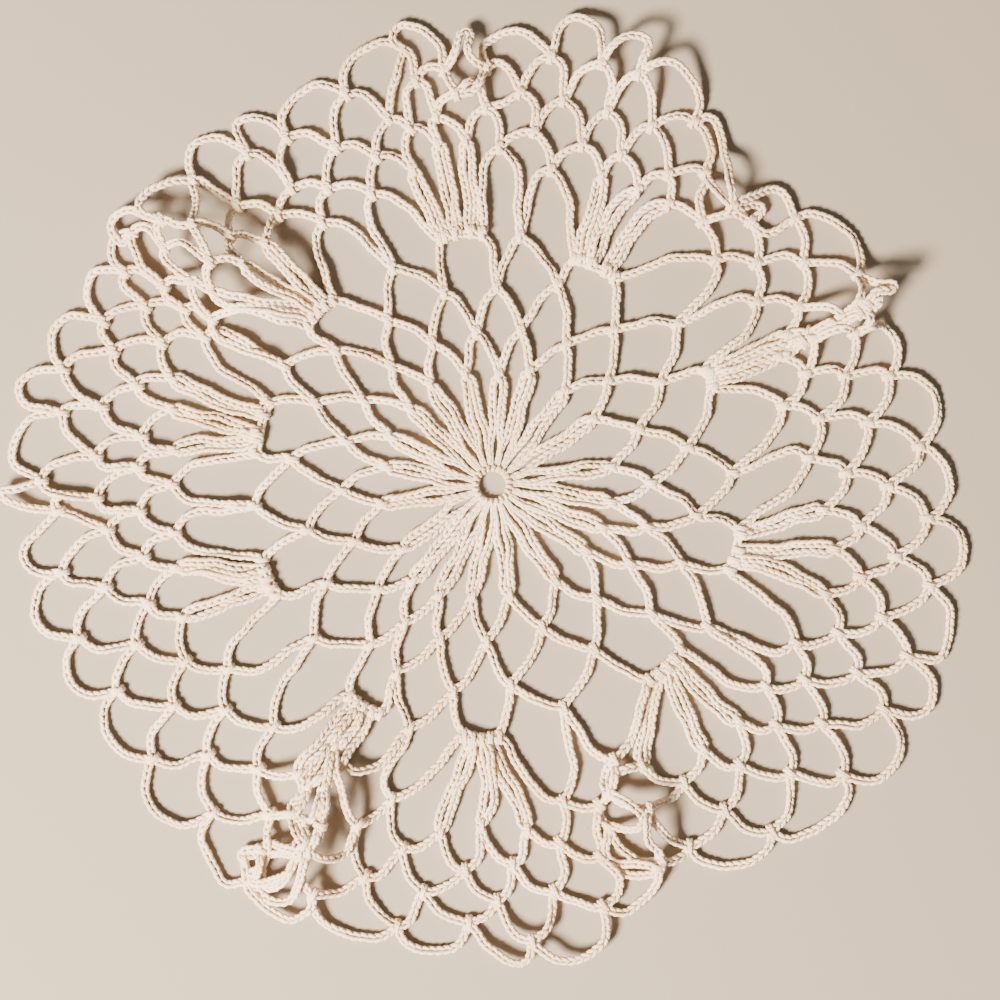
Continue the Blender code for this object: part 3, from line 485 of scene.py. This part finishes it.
def work_outer_net(lace, tips, rounds):
    """Rounds of arches over the fans, five for each fan; the last one is the scalloped edge."""
    m = len(tips)
    inner = tips
    inner_way = [side_of(unit(tip)) for tip in tips]
    for r, peaks in enumerate(rounds, start=1):
        piece = "scalloped_edge" if r == len(rounds) else f"outer_net_{r}"
        bow = RIM_BOW if r == len(rounds) else OUTER_BOW
        way = []
        for k in range(m):
            left, right = (inner[k], inner[(k + 1) % m]) if r % 2 else (inner[k - 1], inner[k])
            apart = np.hypot(*(right - left)) > SAME_PLACE
            way.append(right - left if apart else side_of(unit(peaks[k])))
            if apart:
                place = (r, k // LOOP_COUNT + 1, k % LOOP_COUNT + 1)
                lace.chain(piece, bent_arch(place, left, peaks[k], right, bow))
            if np.hypot(*(inner[k] - inner[k - 1])) > SAME_PLACE:
                lace.knot(piece, inner[k], inner_way[k])
        inner, inner_way = peaks, way


def places(table, inset=0.0):
    """Plan points of a table that has five places in each row."""
    return [polar(row[2 * k], row[2 * k + 1] - inset) for row in table for k in range(LOOP_COUNT)]


@functools.lru_cache(maxsize=None)
def laid_lace():
    """The whole doily's chains and knots in plan."""
    n = PETAL_COUNT
    petal = [polar(row[0], row[1]) for row in SECTIONS]
    net = [polar(row[2], row[3]) for row in SECTIONS]
    knot = [polar(row[4], row[5]) for row in SECTIONS]
    first = [0.25 * (petal[i] + petal[(i + 1) % n] + net[i] + net[(i + 1) % n]) for i in range(n)]
    tips = places(FANS)
    rounds = [places(ROUND_ONE), places(ROUND_TWO), places(ROUND_THREE), places(RIM, 0.5 * CORD_WIDTH)]
    lace = Lace()
    work_centre(lace, petal)
    bars = work_inner_net(lace, petal, first, net, knot)
    work_fans(lace, knot, tips, bars)
    work_outer_net(lace, tips, rounds)
    return lace


# ================================================================ heights
REST_HEIGHT = 1.05            # middle of a chain lying on the table, mm above it
STEP = 1.0                    # spacing of the points at which heights are worked out, mm
TOUCH = 2.0                   # chains closer than this lie on one another, mm
SAME_CHAIN = 7.0              # less than this apart along one chain, points don't lie on one another, mm
HOOKED = 0.8                  # a chain that passes a knot closer than this is hooked into it, mm
HOOK_REACH = 4.5              # this near to a knot, the chains hooked into it may touch, mm
KNOT_GRIP = 1.3               # this near to a knot, its chains lie at one height, mm
CROWD_FROM = 15.5             # chains crowd together and draw in within this distance of the ring, mm
SETTLE_STEPS = 160            # steps in which the chains settle
SETTLE_DROP = 0.12            # share of its height over the table or bunch that a chain loses in a step
SETTLE_STIFF = 0.5            # share of its bend that it takes out in a step
SETTLE_PUSH = 0.35            # share by which a step mends the height between chains that cross
WAVER = ((13.0, 0.22), (7.0, 0.12))  # wavelength and size of the waver of a chain, mm
WAVER_END = 4.0               # length at a chain's ends over which the waver starts, mm
WAVER_MIDDLE = 3.0            # length to each side of its middle over which it starts again, mm


def relief(x, y):
    """Height of the bunches and lifted edges above the table, mm."""
    z = np.zeros_like(x)
    for deg, mm, crest_deg, half_length, half_width, height in FOLDS:
        cx, cy = polar(deg, mm)
        ux, uy = polar(crest_deg, 1.0)
        u = ((x - cx) * ux + (y - cy) * uy) / half_length
        v = ((x - cx) * uy - (y - cy) * ux) / half_width
        along = np.cos(0.5 * math.pi * np.clip(np.abs(u), 0, 1)) ** 2
        across = np.cos(0.5 * math.pi * np.clip(np.abs(v), 0, 1)) ** 2
        z = np.maximum(z, height * along * across)
    return z


def arc_of(line):
    """Length along a line up to each of its points."""
    return np.concatenate(([0.0], np.cumsum(np.sqrt((np.diff(line, axis=0) ** 2).sum(axis=1)))))


def respaced(line, step):
    s = arc_of(line)
    count = max(2, int(round(s[-1] / step)))
    t = np.linspace(0.0, s[-1], count + 1)
    return np.stack([np.interp(t, s, line[:, k]) for k in range(line.shape[1])], axis=1)


def waves(s, rows, phases):
    """Sum of one wave for each row of wavelength and size, along s."""
    return sum(size * np.sin(2 * math.pi * s / length + phase) for (length, size), phase in zip(rows, phases))


def started(distance, reach):
    """Share, from 0 at no distance to 1 from 'reach' on."""
    return np.clip(distance / reach, 0, 1)


def wavered(line, seed):
    """The line with the slight sideways waver of a chain that was laid by hand; its ends stay."""
    rng = np.random.RandomState(seed)
    s = arc_of(line)
    way = np.gradient(line, axis=0)
    way /= np.maximum(1e-9, np.hypot(way[:, 0], way[:, 1]))[:, None]
    normal = np.stack((way[:, 1], -way[:, 0]), axis=1)
    shift = waves(s, WAVER, rng.uniform(0, 2 * math.pi, len(WAVER)))
    from_middle = np.abs(s - 0.5 * s[-1])
    fade = started(s, WAVER_END) * started(s[-1] - s, WAVER_END) * started(from_middle, WAVER_MIDDLE)
    return line + normal * (shift * fade)[:, None]


def nearest_knots(lace, plan):
    """Which knot is nearest to each point of the plan, and how far away it is."""
    hooks = KDTree(len(lace.knots))
    for k, (_, point, _) in enumerate(lace.knots):
        hooks.insert((point[0], point[1], 0.0), k)
    hooks.balance()
    near, dist = np.empty(len(plan), int), np.empty(len(plan))
    for q, (x, y) in enumerate(plan):
        _, near[q], dist[q] = hooks.find((x, y, 0.0))
    return near, dist


def hooked_chains(spans, near, dist):
    """Pairs of a chain and a knot that it is hooked into."""
    tied = set()
    for k, span in enumerate(spans):
        for index in np.unique(near[span]):
            if dist[span][near[span] == index].min() < HOOKED:
                tied.add((k, int(index)))
    return tied


def stacked_points(lines, plan, spans, near, dist):
    """Points that lie on one another: the lower one, the upper one and the height that they need between."""
    owner = np.concatenate([np.full(len(line), k) for k, line in enumerate(lines)])
    place = np.concatenate([arc_of(line) for line in lines])
    radius = np.hypot(plan[:, 0], plan[:, 1])
    tied = hooked_chains(spans, near, dist)
    tree = KDTree(len(plan))
    for q, (x, y) in enumerate(plan):
        tree.insert((x, y, 0.0), q)
    tree.balance()
    low, high, gap = [], [], []
    for q, (x, y) in enumerate(plan):
        if radius[q] < CROWD_FROM:
            continue
        for _, other, d in tree.find_range((x, y, 0.0), TOUCH):
            if other <= q or radius[other] < CROWD_FROM:
                continue
            if owner[q] == owner[other] and abs(place[q] - place[other]) < SAME_CHAIN:
                continue
            at_knot = near[q] == near[other] and max(dist[q], dist[other]) < HOOK_REACH
            if at_knot and (owner[q], near[q]) in tied and (owner[other], near[q]) in tied:
                continue
            low.append(q)
            high.append(other)
            gap.append(math.sqrt(max(0.0, TOUCH * TOUCH - d * d)))
    return np.array(low, int), np.array(high, int), np.array(gap)


def settled_heights(plan, spans, grips, low, high, gap):
    """Height of each point of the plan, once the chains have settled on the bunches and on one another."""
    floor = relief(plan[:, 0], plan[:, 1]) + REST_HEIGHT
    z = floor.copy()
    inner = np.ones(len(plan), bool)
    for span in spans:
        inner[span.start] = inner[span.stop - 1] = False
    index = np.nonzero(inner)[0]
    for _ in range(SETTLE_STEPS):
        z += SETTLE_DROP * (floor - z)
        bend = 0.5 * (z[index - 1] + z[index + 1]) - z[index]
        z[index] += SETTLE_STIFF * bend
        short = gap - (z[high] - z[low])
        push = SETTLE_PUSH * np.clip(short, 0, None)
        lift, sink = np.zeros(len(z)), np.zeros(len(z))
        np.maximum.at(lift, high, push)
        np.maximum.at(sink, low, push)
        z += lift - sink
        z = np.maximum(z, REST_HEIGHT)
        for rows in grips:
            if len(rows):
                z[rows] = z[rows].mean()
    return z


@functools.lru_cache(maxsize=None)
def settled_lace():
    """Chains as lines in space and knots with their heights, after chains that cross have been stacked."""
    lace = laid_lace()
    lines = [wavered(respaced(line, STEP), k) for k, (_, line) in enumerate(lace.cords)]
    plan = np.vstack(lines)
    ends = np.cumsum([len(line) for line in lines])
    spans = [slice(end - len(line), end) for line, end in zip(lines, ends)]
    near, dist = nearest_knots(lace, plan)
    grips = [np.nonzero((near == k) & (dist < KNOT_GRIP))[0] for k in range(len(lace.knots))]
    z = settled_heights(plan, spans, grips, *stacked_points(lines, plan, spans, near, dist))
    chains = []
    for (piece, _), line, span in zip(lace.cords, lines, spans):
        chains.append((piece, np.column_stack((line, z[span]))))
    knots = []
    for (piece, point, way), rows in zip(lace.knots, grips):
        height = z[rows].mean() if len(rows) else REST_HEIGHT
        knots.append((piece, np.array((point[0], point[1], height)), way))
    return chains, knots


def offset_to_frame():
    """What moves the layout, mm from the ring, into the frame: the middle of its outline is the frame's."""
    points = np.vstack([line for _, line in laid_lace().cords])
    middle = 0.5 * (points.min(axis=0) + points.max(axis=0))
    low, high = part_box(NODE)
    centre = 0.5 * (np.array(low) + np.array(high)) / MM
    return np.array((centre[0] - middle[0], centre[1] - middle[1], 0.0))


# ================================================================ thread
def catmull(points, t):
    """Smooth curve through the points at parameters t, counted in points."""
    i = np.clip(np.floor(t).astype(int), 1, len(points) - 3)
    f = (t - i)[:, None]
    a, b, c, d = points[i - 1], points[i], points[i + 1], points[i + 2]
    return 0.5 * (2 * b + (c - a) * f + (2 * a - 5 * b + 4 * c - d) * f * f
                  + (3 * b - a - 3 * c + d) * f ** 3)


def normalised(v):
    return v / np.maximum(1e-12, np.sqrt((v * v).sum(axis=1)))[:, None]


def carried_normals(path):
    """Directions across a path that turn with it and no more."""
    tangent = normalised(np.gradient(path, axis=0))
    normals = np.empty_like(path)
    start = np.cross(tangent[0], (0.3, 0.5, 0.8))
    normals[0] = start / np.linalg.norm(start)
    for k in range(1, len(path)):
        v = normals[k - 1] - tangent[k] * (normals[k - 1] @ tangent[k])
        normals[k] = v / max(1e-9, np.linalg.norm(v))
    return tangent, normals


class Thread:
    """Tubes of thread gathered into one mesh."""

    def __init__(self, radius):
        self.radius = radius
        self.verts, self.faces, self.uvs = [], [], []
        self.ends = []        # first point of the first and of the last ring of each length
        self.count = 0        # points so far

    def add(self, path, tangent, normal, thickness):
        """One length of thread along the path, closed at both ends."""
        n, sides = len(path), THREAD_SIDES
        binormal = np.cross(tangent, normal)
        turn = np.arange(sides) * (2 * math.pi / sides)
        ring = (normal[:, None, :] * np.cos(turn)[None, :, None]
                + binormal[:, None, :] * np.sin(turn)[None, :, None])
        size = (self.radius * thickness)[:, None, None]
        self.verts.append((path[:, None, :] + ring * size).reshape(-1, 3))
        row = np.arange(n - 1)[:, None] * sides + self.count
        side = np.arange(sides)[None, :]
        after = (side + 1) % sides
        quads = np.stack((row + side, row + after, row + sides + after, row + sides + side), axis=2)
        self.faces.append(quads.reshape(-1, 4))
        length = arc_of(path)
        v0 = np.repeat(length[:-1], sides)
        v1 = np.repeat(length[1:], sides)
        u0 = np.tile(np.arange(sides) / sides, n - 1)
        u1 = u0 + 1.0 / sides
        self.uvs.append(np.stack((u0, v0, u1, v0, u1, v1, u0, v1), axis=1).reshape(-1, 2))
        self.ends.append((self.count, self.count + (n - 1) * sides))
        self.count += n * sides

    def mesh(self, name):
        """The mesh, in metres."""
        verts = np.vstack(self.verts) * MM
        quads = np.vstack(self.faces)
        caps = []
        for low, high in self.ends:
            caps.append([low + k for k in range(THREAD_SIDES)][::-1])
            caps.append([high + k for k in range(THREAD_SIDES)])
        loops = np.concatenate((quads.ravel(), np.array(caps).ravel()))
        starts = np.concatenate((np.arange(len(quads)) * 4,
                                 len(quads) * 4 + np.arange(len(caps)) * THREAD_SIDES))
        sizes = np.concatenate((np.full(len(quads), 4), np.full(len(caps), THREAD_SIDES)))
        data = bpy.data.meshes.new(name)
        data.vertices.add(len(verts))
        data.vertices.foreach_set("co", verts.ravel())
        data.loops.add(len(loops))
        data.loops.foreach_set("vertex_index", loops)
        data.polygons.add(len(starts))
        data.polygons.foreach_set("loop_start", starts)
        data.polygons.foreach_set("loop_total", sizes)
        data.polygons.foreach_set("use_smooth", np.ones(len(starts), bool))
        layer = data.uv_layers.new(name="thread")
        uv = np.zeros((len(loops), 2))
        uv[:len(quads) * 4] = np.vstack(self.uvs)
        layer.data.foreach_set("uv", uv.ravel())
        data.update()
        data.validate()
        return data


def stitch_normals():
    """Directions across the thread at each sample of one stitch, which come round again in the next one."""
    shape = np.array(STITCH)
    count = len(shape)
    rows = np.vstack([shape + (k, 0, 0) for k in (-1, 0, 1, 2)])
    steps = STITCH_SAMPLES * TURN_STEPS
    path = catmull(rows, count + np.arange(steps + 1) * (count / steps)) * STITCH_FORM
    tangent, normal = carried_normals(path)
    start, end = normal[0], normal[-1]
    angle = math.atan2(float(np.cross(start, end) @ tangent[0]), float(start @ end))
    out = []
    for k in range(STITCH_SAMPLES + 1):
        a = -angle * k / STITCH_SAMPLES
        n = normal[TURN_STEPS * k]
        b = np.cross(tangent[TURN_STEPS * k], n)
        out.append(n * math.cos(a) + b * math.sin(a))
    return np.array(out)


def crowding(x, y):
    """How much of its width a chain keeps where 40 of them meet at the ring."""
    return np.clip(np.hypot(x, y) / CROWD_FROM, CROWD_LEAST, 1.0)


def slimmed(keep):
    """How much of its height or thickness it keeps there."""
    return CROWD_FIRM + (1 - CROWD_FIRM) * keep


def smoothed(line):
    """The line with its corners rounded; its ends stay."""
    kernel = np.hanning(2 * SMOOTH_REACH + 3)[1:-1]
    kernel /= kernel.sum()
    before = 2 * line[0] - line[1:SMOOTH_REACH + 1][::-1]
    after = 2 * line[-1] - line[-SMOOTH_REACH - 1:-1][::-1]
    padded = np.vstack((before, line, after))
    return np.stack([np.convolve(padded[:, k], kernel, mode="valid") for k in range(3)], axis=1)


def add_chain(thread, line, chain, seed, spin):
    """Chain stitches along a line in space."""
    rng = np.random.RandomState(seed)
    s = arc_of(line)
    total = s[-1]
    count = max(2, int(round(total / chain.pitch)))
    fine = np.linspace(0, total, max(8, int(total / SMOOTH_STEP)))
    middle = smoothed(np.stack([np.interp(fine, s, line[:, k]) for k in range(3)], axis=1))
    way = normalised(np.gradient(middle, axis=0))
    side = normalised(np.cross(way, (0.0, 0.0, 1.0)))
    up = np.cross(side, way)

    # the thread as it would run in a straight level chain: along it, sideways and up
    shape = np.array(STITCH)
    index = np.arange(-1, count + 1)
    jitter = 1.0 + rng.uniform(-STITCH_UNEVEN, STITCH_UNEVEN, len(index))
    along = (index[:, None] + shape[None, :, 0]) * (total / count)
    wide = shape[None, :, 1] * jitter[:, None] * chain.half_width
    tall = shape[None, :, 2] * (2 - jitter[:, None]) * chain.half_height
    t = len(shape) + np.arange(count * STITCH_SAMPLES + 1) * (len(shape) / STITCH_SAMPLES)
    flat = catmull(np.stack((along.ravel(), wide.ravel(), tall.ravel()), axis=1), t)

    # the same carried along the line, rolled a little and crowded near the ring
    a = np.clip(flat[:, 0], 0, total)
    centre, way, side, up = [np.stack([np.interp(a, fine, v[:, k]) for k in range(3)], axis=1)
                             for v in (middle, way, side, up)]
    way, side, up = normalised(way), normalised(side), normalised(up)
    roll = spin * waves(a, ROLL_WAVES, rng.uniform(0, 2 * math.pi, len(ROLL_WAVES)))
    roll *= started(a, ROLL_END) * started(total - a, ROLL_END)
    cos, sin = np.cos(roll)[:, None], np.sin(roll)[:, None]
    side, up = side * cos + up * sin, up * cos - side * sin
    keep = crowding(centre[:, 0], centre[:, 1])
    path = centre + side * (flat[:, 1] * keep)[:, None] + up * (flat[:, 2] * slimmed(keep))[:, None]
    path[:, 2] = np.maximum(path[:, 2], thread.radius)
    tangent = normalised(np.gradient(path, axis=0))
    local = stitch_normals()[np.arange(len(path)) % STITCH_SAMPLES]
    normal = way * local[:, :1] + side * local[:, 1:2] + up * local[:, 2:3]
    normal = normalised(normal - tangent * (normal * tangent).sum(axis=1)[:, None])
    thread.add(path, tangent, normal, slimmed(keep ** 0.5))


def add_knot(thread, point, way, chain, seed):
    """The thread wound a little more than twice round the chain that it is hooked over."""
    rng = np.random.RandomState(seed)
    f = np.linspace(0, 1, int(KNOT_TURNS * KNOT_SAMPLES) + 1)
    angle = 2 * math.pi * KNOT_TURNS * f + rng.uniform(-KNOT_START, KNOT_START)
    keep = float(crowding(point[0], point[1]))
    across = np.array((way[0], way[1], 0.0))
    out = np.array((-way[1], way[0], 0.0))
    reach = chain.knot_reach * keep * rng.uniform(1 - KNOT_UNEVEN, 1 + KNOT_UNEVEN)
    drift = (f - 0.5) * 2 * chain.knot_width * keep
    sway, often = KNOT_SWAY
    path = (point + across * (drift + sway * np.sin(angle * often))[:, None]
            + out * (reach * np.cos(angle))[:, None]
            + np.array((0.0, 0.0, 1.0)) * (chain.knot_height * np.sin(angle))[:, None])
    path[:, 2] = np.maximum(path[:, 2], thread.radius)
    tangent, normal = carried_normals(path)
    thread.add(path, tangent, normal, np.full(len(path), slimmed(keep ** 0.5)))


# ================================================================ materials
def node(tree, kind, values=(), links=(), **settings):
    """Adds a shader node with its settings, its input values and the links that come into it."""
    made = tree.nodes.new(kind)
    for key, value in settings.items():
        setattr(made, key, value)
    for key, value in dict(values).items():
        made.inputs[key].default_value = value
    for key, source in dict(links).items():
        tree.links.new(source, made.inputs[key])
    return made


def material(name):
    mat = bpy.data.materials.new(name)
    mat.use_nodes = True
    mat.node_tree.nodes.clear()
    return mat, mat.node_tree


PLIES = 3.0                   # plies of the thread, each with a groove to the next
PATCH = 25.0                  # size of the patches of tone, mm
FIBRE = 0.3125                # distance between fibre ends, mm


@functools.lru_cache(maxsize=None)
def mercerised_cotton(shade, deep, lay_mm):
    """Mercerised crochet cotton, three plies spun and twisted: ivory, with a soft lustre along the thread."""
    mat, tree = material("crochet_cotton")
    where = node(tree, "ShaderNodeTexCoord")
    uv = node(tree, "ShaderNodeUVMap", uv_map="thread")
    split = node(tree, "ShaderNodeSeparateXYZ", links={0: uv.outputs[0]})
    # the groove between two plies goes once round the thread in lay_mm
    around = node(tree, "ShaderNodeMath", operation="MULTIPLY", values={1: PLIES},
                  links={0: split.outputs[0]})
    along = node(tree, "ShaderNodeMath", operation="MULTIPLY", values={1: PLIES / lay_mm},
                 links={0: split.outputs[1]})
    twist = node(tree, "ShaderNodeMath", operation="ADD", links={0: around.outputs[0], 1: along.outputs[0]})
    turn = node(tree, "ShaderNodeMath", operation="MULTIPLY", values={1: math.pi},
                links={0: twist.outputs[0]})
    wave = node(tree, "ShaderNodeMath", operation="SINE", links={0: turn.outputs[0]})
    ply = node(tree, "ShaderNodeMath", operation="ABSOLUTE", links={0: wave.outputs[0]})
    # patches of tone, where handling and light have aged the cotton unevenly
    patch = node(tree, "ShaderNodeTexNoise",
                 values={"Scale": 1 / (PATCH * MM), "Detail": 2.0, "Roughness": 0.5},
                 links={"Vector": where.outputs["Object"]})
    # fine fuzz of fibre ends
    fibre = node(tree, "ShaderNodeTexNoise",
                 values={"Scale": 1 / (FIBRE * MM), "Detail": 3.0, "Roughness": 0.6},
                 links={"Vector": where.outputs["Object"]})
    tone = node(tree, "ShaderNodeMath", operation="MULTIPLY_ADD", values={1: 0.35},
                links={0: fibre.outputs["Fac"], 2: patch.outputs["Fac"]})
    ramp = node(tree, "ShaderNodeMapRange", values={"From Min": 0.45, "From Max": 0.95},
                links={"Value": tone.outputs[0]})
    # painted shade: the cotton's colour is darkened to 80% in the grooves between the plies, where shade
    # falls
    painted_groove_shade = node(tree, "ShaderNodeMapRange", values={"From Min": 0.0, "From Max": 0.45, "To Min": 0.80},
                  links={"Value": ply.outputs[0]})
    base = node(tree, "ShaderNodeMix", data_type="RGBA", values={6: deep, 7: shade},
                links={0: ramp.outputs[0]})
    colour_with_painted_groove_shade = node(tree, "ShaderNodeMix", data_type="RGBA", blend_type="MULTIPLY", values={0: 1.0},
                  links={6: base.outputs[2], 7: painted_groove_shade.outputs[0]})
    ridge = node(tree, "ShaderNodeBump", values={"Strength": 0.6, "Distance": 0.12 * MM},
                 links={"Height": ply.outputs[0]})
    fuzz = node(tree, "ShaderNodeBump", values={"Strength": 0.35, "Distance": 0.05 * MM},
                links={"Height": fibre.outputs["Fac"], "Normal": ridge.outputs[0]})
    shader = node(tree, "ShaderNodeBsdfPrincipled",
                  values={"Roughness": 0.72, "Sheen Weight": 0.25, "Sheen Roughness": 0.5,
                          "Specular IOR Level": 0.3, "IOR": 1.53},
                  links={"Base Color": colour_with_painted_groove_shade.outputs[2], "Normal": fuzz.outputs[0]})
    node(tree, "ShaderNodeOutputMaterial", links={"Surface": shader.outputs[0]})
    return mat


def table_top(shade):
    """Plain pale table top, smooth and matt."""
    mat, tree = material("pale_table_top")
    shader = node(tree, "ShaderNodeBsdfPrincipled", values={"Base Color": shade, "Roughness": 0.85})
    node(tree, "ShaderNodeOutputMaterial", links={"Surface": shader.outputs[0]})
    return mat


# ================================================================ stage, in m unless said
TABLE_HALF = 3.0              # half the side of the table top
LAMP_PLACE = (-0.62, -0.52, 0.78)
LAMP_SIZE = 0.35              # diameter of the large soft light
AIM = (1.95, -3.9)            # where the camera looks, mm from the ring
SENSOR = 36.0                 # width of the camera's sensor, mm
CLIP = (0.05, 20.0)           # nearest and farthest that the camera sees


# ================================================================ settings
class DoilyThread(bpy.types.PropertyGroup):
    """Sizes of the thread and its stitches."""
    diameter: bpy.props.FloatProperty(
        name="Thread", description="Diameter of the crochet thread", default=1.06 * MM, unit="LENGTH")
    pitch: bpy.props.FloatProperty(
        name="Stitch length", description="Length of one chain stitch", default=2.0 * MM, unit="LENGTH")
    lay: bpy.props.FloatProperty(
        name="Ply lay", description="Length in which a ply goes once round the thread",
        default=2.4 * MM, unit="LENGTH")
    roll: bpy.props.FloatProperty(
        name="Roll", description="How far the chains turn on edge along their way",
        default=math.radians(38.0), subtype="ANGLE")
    shade: bpy.props.FloatVectorProperty(
        name="Cotton", description="Colour of the cotton", size=4, subtype="COLOR", default=linear("#FDE6C8"))
    deep: bpy.props.FloatVectorProperty(
        name="Aged cotton", description="Colour of the cotton where it has darkened", size=4,
        subtype="COLOR", default=linear("#DFC39F"))


class DoilyStage(bpy.types.PropertyGroup):
    """Table top, light and camera."""
    table: bpy.props.FloatVectorProperty(
        name="Table top", description="Colour of the table top", size=4, subtype="COLOR",
        default=linear("#9C8F7E"))
    camera_height: bpy.props.FloatProperty(
        name="Camera height", description="Height of the camera above the table", default=0.62, unit="LENGTH")
    view_width: bpy.props.FloatProperty(
        name="View width", description="Width of table that the camera sees", default=0.26, unit="LENGTH")
    key_power: bpy.props.FloatProperty(
        name="Key light", description="Power of the large soft light", default=80.0, unit="POWER")
    fill: bpy.props.FloatProperty(
        name="Fill light", description="Strength of the light from all round", default=0.27)


class ChainSizes:
    """Sizes of a chain stitch and a knot in mm, from the thread's."""

    def __init__(self, settings):
        thread = settings.diameter / MM
        self.radius = 0.5 * thread
        self.pitch = settings.pitch / MM
        self.half_width = 0.5 * CORD_WIDTH - self.radius
        self.half_height = STITCH_HEIGHT * thread
        self.knot_reach = KNOT_REACH * thread
        self.knot_height = KNOT_HEIGHT * thread
        self.knot_width = KNOT_WIDTH * thread


PIECES = ("centre_petals", "inner_net", "fan_loops", "wide_loops", "outer_net_1", "outer_net_2",
          "outer_net_3", "scalloped_edge")
CHAIN_SEED = 100              # each chain's own chance starts from this and its number
KNOT_SEED = 900               # and each knot's from this one


def crochet(piece):
    """Makes one piece of the doily: its chains and the knots that hook it to the piece inside it."""
    settings = bpy.context.scene.doily_thread
    sizes = ChainSizes(settings)
    chains, knots = settled_lace()
    shift = offset_to_frame()
    thread = Thread(sizes.radius)
    for k, (owner, line) in enumerate(chains):
        if owner == piece:
            add_chain(thread, line, sizes, CHAIN_SEED + k, settings.roll)
    for k, (owner, point, way) in enumerate(knots):
        if owner == piece:
            add_knot(thread, point, way, sizes, KNOT_SEED + k)
    thread.verts = [v + shift for v in thread.verts]
    obj = bpy.data.objects.new(piece, thread.mesh(piece))
    obj.data.materials.append(
        mercerised_cotton(tuple(settings.shade), tuple(settings.deep), settings.lay / MM))
    bpy.context.scene.collection.objects.link(obj)
    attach(obj, "root")


# ================================================================ operators
class DOILY_OT_centre(bpy.types.Operator):
    """Work the centre ring and its 20 petal loops"""
    bl_idname = "doily.centre"
    bl_label = "Ring and petals"

    def execute(self, context):
        crochet("centre_petals")
        return {"FINISHED"}


class DOILY_OT_inner_net(bpy.types.Operator):
    """Work the three rounds of 20 arches"""
    bl_idname = "doily.inner_net"
    bl_label = "Inner net"

    def execute(self, context):
        crochet("inner_net")
        return {"FINISHED"}


class DOILY_OT_fans(bpy.types.Operator):
    """Work the ten fans of five loops"""
    bl_idname = "doily.fans"
    bl_label = "Fans"

    def execute(self, context):
        crochet("fan_loops")
        crochet("wide_loops")
        return {"FINISHED"}


class DOILY_OT_outer_net(bpy.types.Operator):
    """Work the three rounds of 50 arches"""
    bl_idname = "doily.outer_net"
    bl_label = "Outer net"

    def execute(self, context):
        for piece in ("outer_net_1", "outer_net_2", "outer_net_3"):
            crochet(piece)
        return {"FINISHED"}


class DOILY_OT_edge(bpy.types.Operator):
    """Work the scalloped edge, and hide the solid whose place the doily takes"""
    bl_idname = "doily.edge"
    bl_label = "Scalloped edge"

    def execute(self, context):
        crochet("scalloped_edge")
        pieces = [bpy.data.objects[name] for name in PIECES]
        for piece in pieces:
            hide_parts(NODE)
        return {"FINISHED"}


class DOILY_OT_stage(bpy.types.Operator):
    """Lay the table top and set the lights and the camera"""
    bl_idname = "doily.stage"
    bl_label = "Table top, lights and camera"

    def execute(self, context):
        stage = context.scene.doily_stage
        half = TABLE_HALF
        data = bpy.data.meshes.new("table_top")
        data.from_pydata([(-half, -half, 0), (half, -half, 0), (half, half, 0), (-half, half, 0)], [],
                         [(0, 1, 2, 3)])
        data.materials.append(table_top(tuple(stage.table)))
        table = bpy.data.objects.new("table_top", data)
        context.scene.collection.objects.link(table)

        world = bpy.data.worlds.new("soft_room")
        world.use_nodes = True
        world.node_tree.nodes["Background"].inputs["Color"].default_value = linear("#F6F4F0")
        world.node_tree.nodes["Background"].inputs["Strength"].default_value = stage.fill
        context.scene.world = world

        key = bpy.data.lights.new("key", "AREA")
        key.shape, key.size = "DISK", LAMP_SIZE
        key.energy = stage.key_power
        key.color = linear("#FFF4E4")[:3]
        lamp = bpy.data.objects.new("key", key)
        lamp.location = LAMP_PLACE
        lamp.rotation_mode = "QUATERNION"
        lamp.rotation_quaternion = (-lamp.location).to_track_quat("-Z", "Y")
        context.scene.collection.objects.link(lamp)

        ring = offset_to_frame() * MM
        lens = bpy.data.cameras.new("camera")
        lens.sensor_width = SENSOR
        lens.lens = SENSOR * stage.camera_height / stage.view_width
        lens.clip_start, lens.clip_end = CLIP
        camera = bpy.data.objects.new("camera", lens)
        camera.location = (ring[0] + AIM[0] * MM, ring[1] + AIM[1] * MM, stage.camera_height)
        context.scene.collection.objects.link(camera)
        context.scene.camera = camera
        return {"FINISHED"}


class DOILY_PT_panel(bpy.types.Panel):
    """Doily settings and pieces"""
    bl_idname = "DOILY_PT_panel"
    bl_label = "Doily"
    bl_space_type = "VIEW_3D"
    bl_region_type = "UI"
    bl_category = "Doily"

    def draw(self, context):
        layout = self.layout
        thread, stage = context.scene.doily_thread, context.scene.doily_stage
        for group, names in ((thread, ("diameter", "pitch", "lay", "roll", "shade", "deep")),
                             (stage, ("table", "camera_height", "view_width", "key_power", "fill"))):
            box = layout.box()
            for name in names:
                box.prop(group, name)
        for operator in OPERATORS:
            layout.operator(operator.bl_idname)


OPERATORS = (DOILY_OT_centre, DOILY_OT_inner_net, DOILY_OT_fans, DOILY_OT_outer_net, DOILY_OT_edge,
             DOILY_OT_stage)
CLASSES = (DoilyThread, DoilyStage) + OPERATORS + (DOILY_PT_panel,)


def register():
    for cls in CLASSES:
        bpy.utils.register_class(cls)
    bpy.types.Scene.doily_thread = bpy.props.PointerProperty(type=DoilyThread)
    bpy.types.Scene.doily_stage = bpy.props.PointerProperty(type=DoilyStage)


def unregister():
    del bpy.types.Scene.doily_stage
    del bpy.types.Scene.doily_thread
    for cls in reversed(CLASSES):
        bpy.utils.unregister_class(cls)


def main():
    register()
    bpy.ops.doily.centre()
    bpy.ops.doily.inner_net()
    bpy.ops.doily.fans()
    bpy.ops.doily.outer_net()
    bpy.ops.doily.edge()
    bpy.ops.doily.stage()


if __name__ == "__main__":
    main()
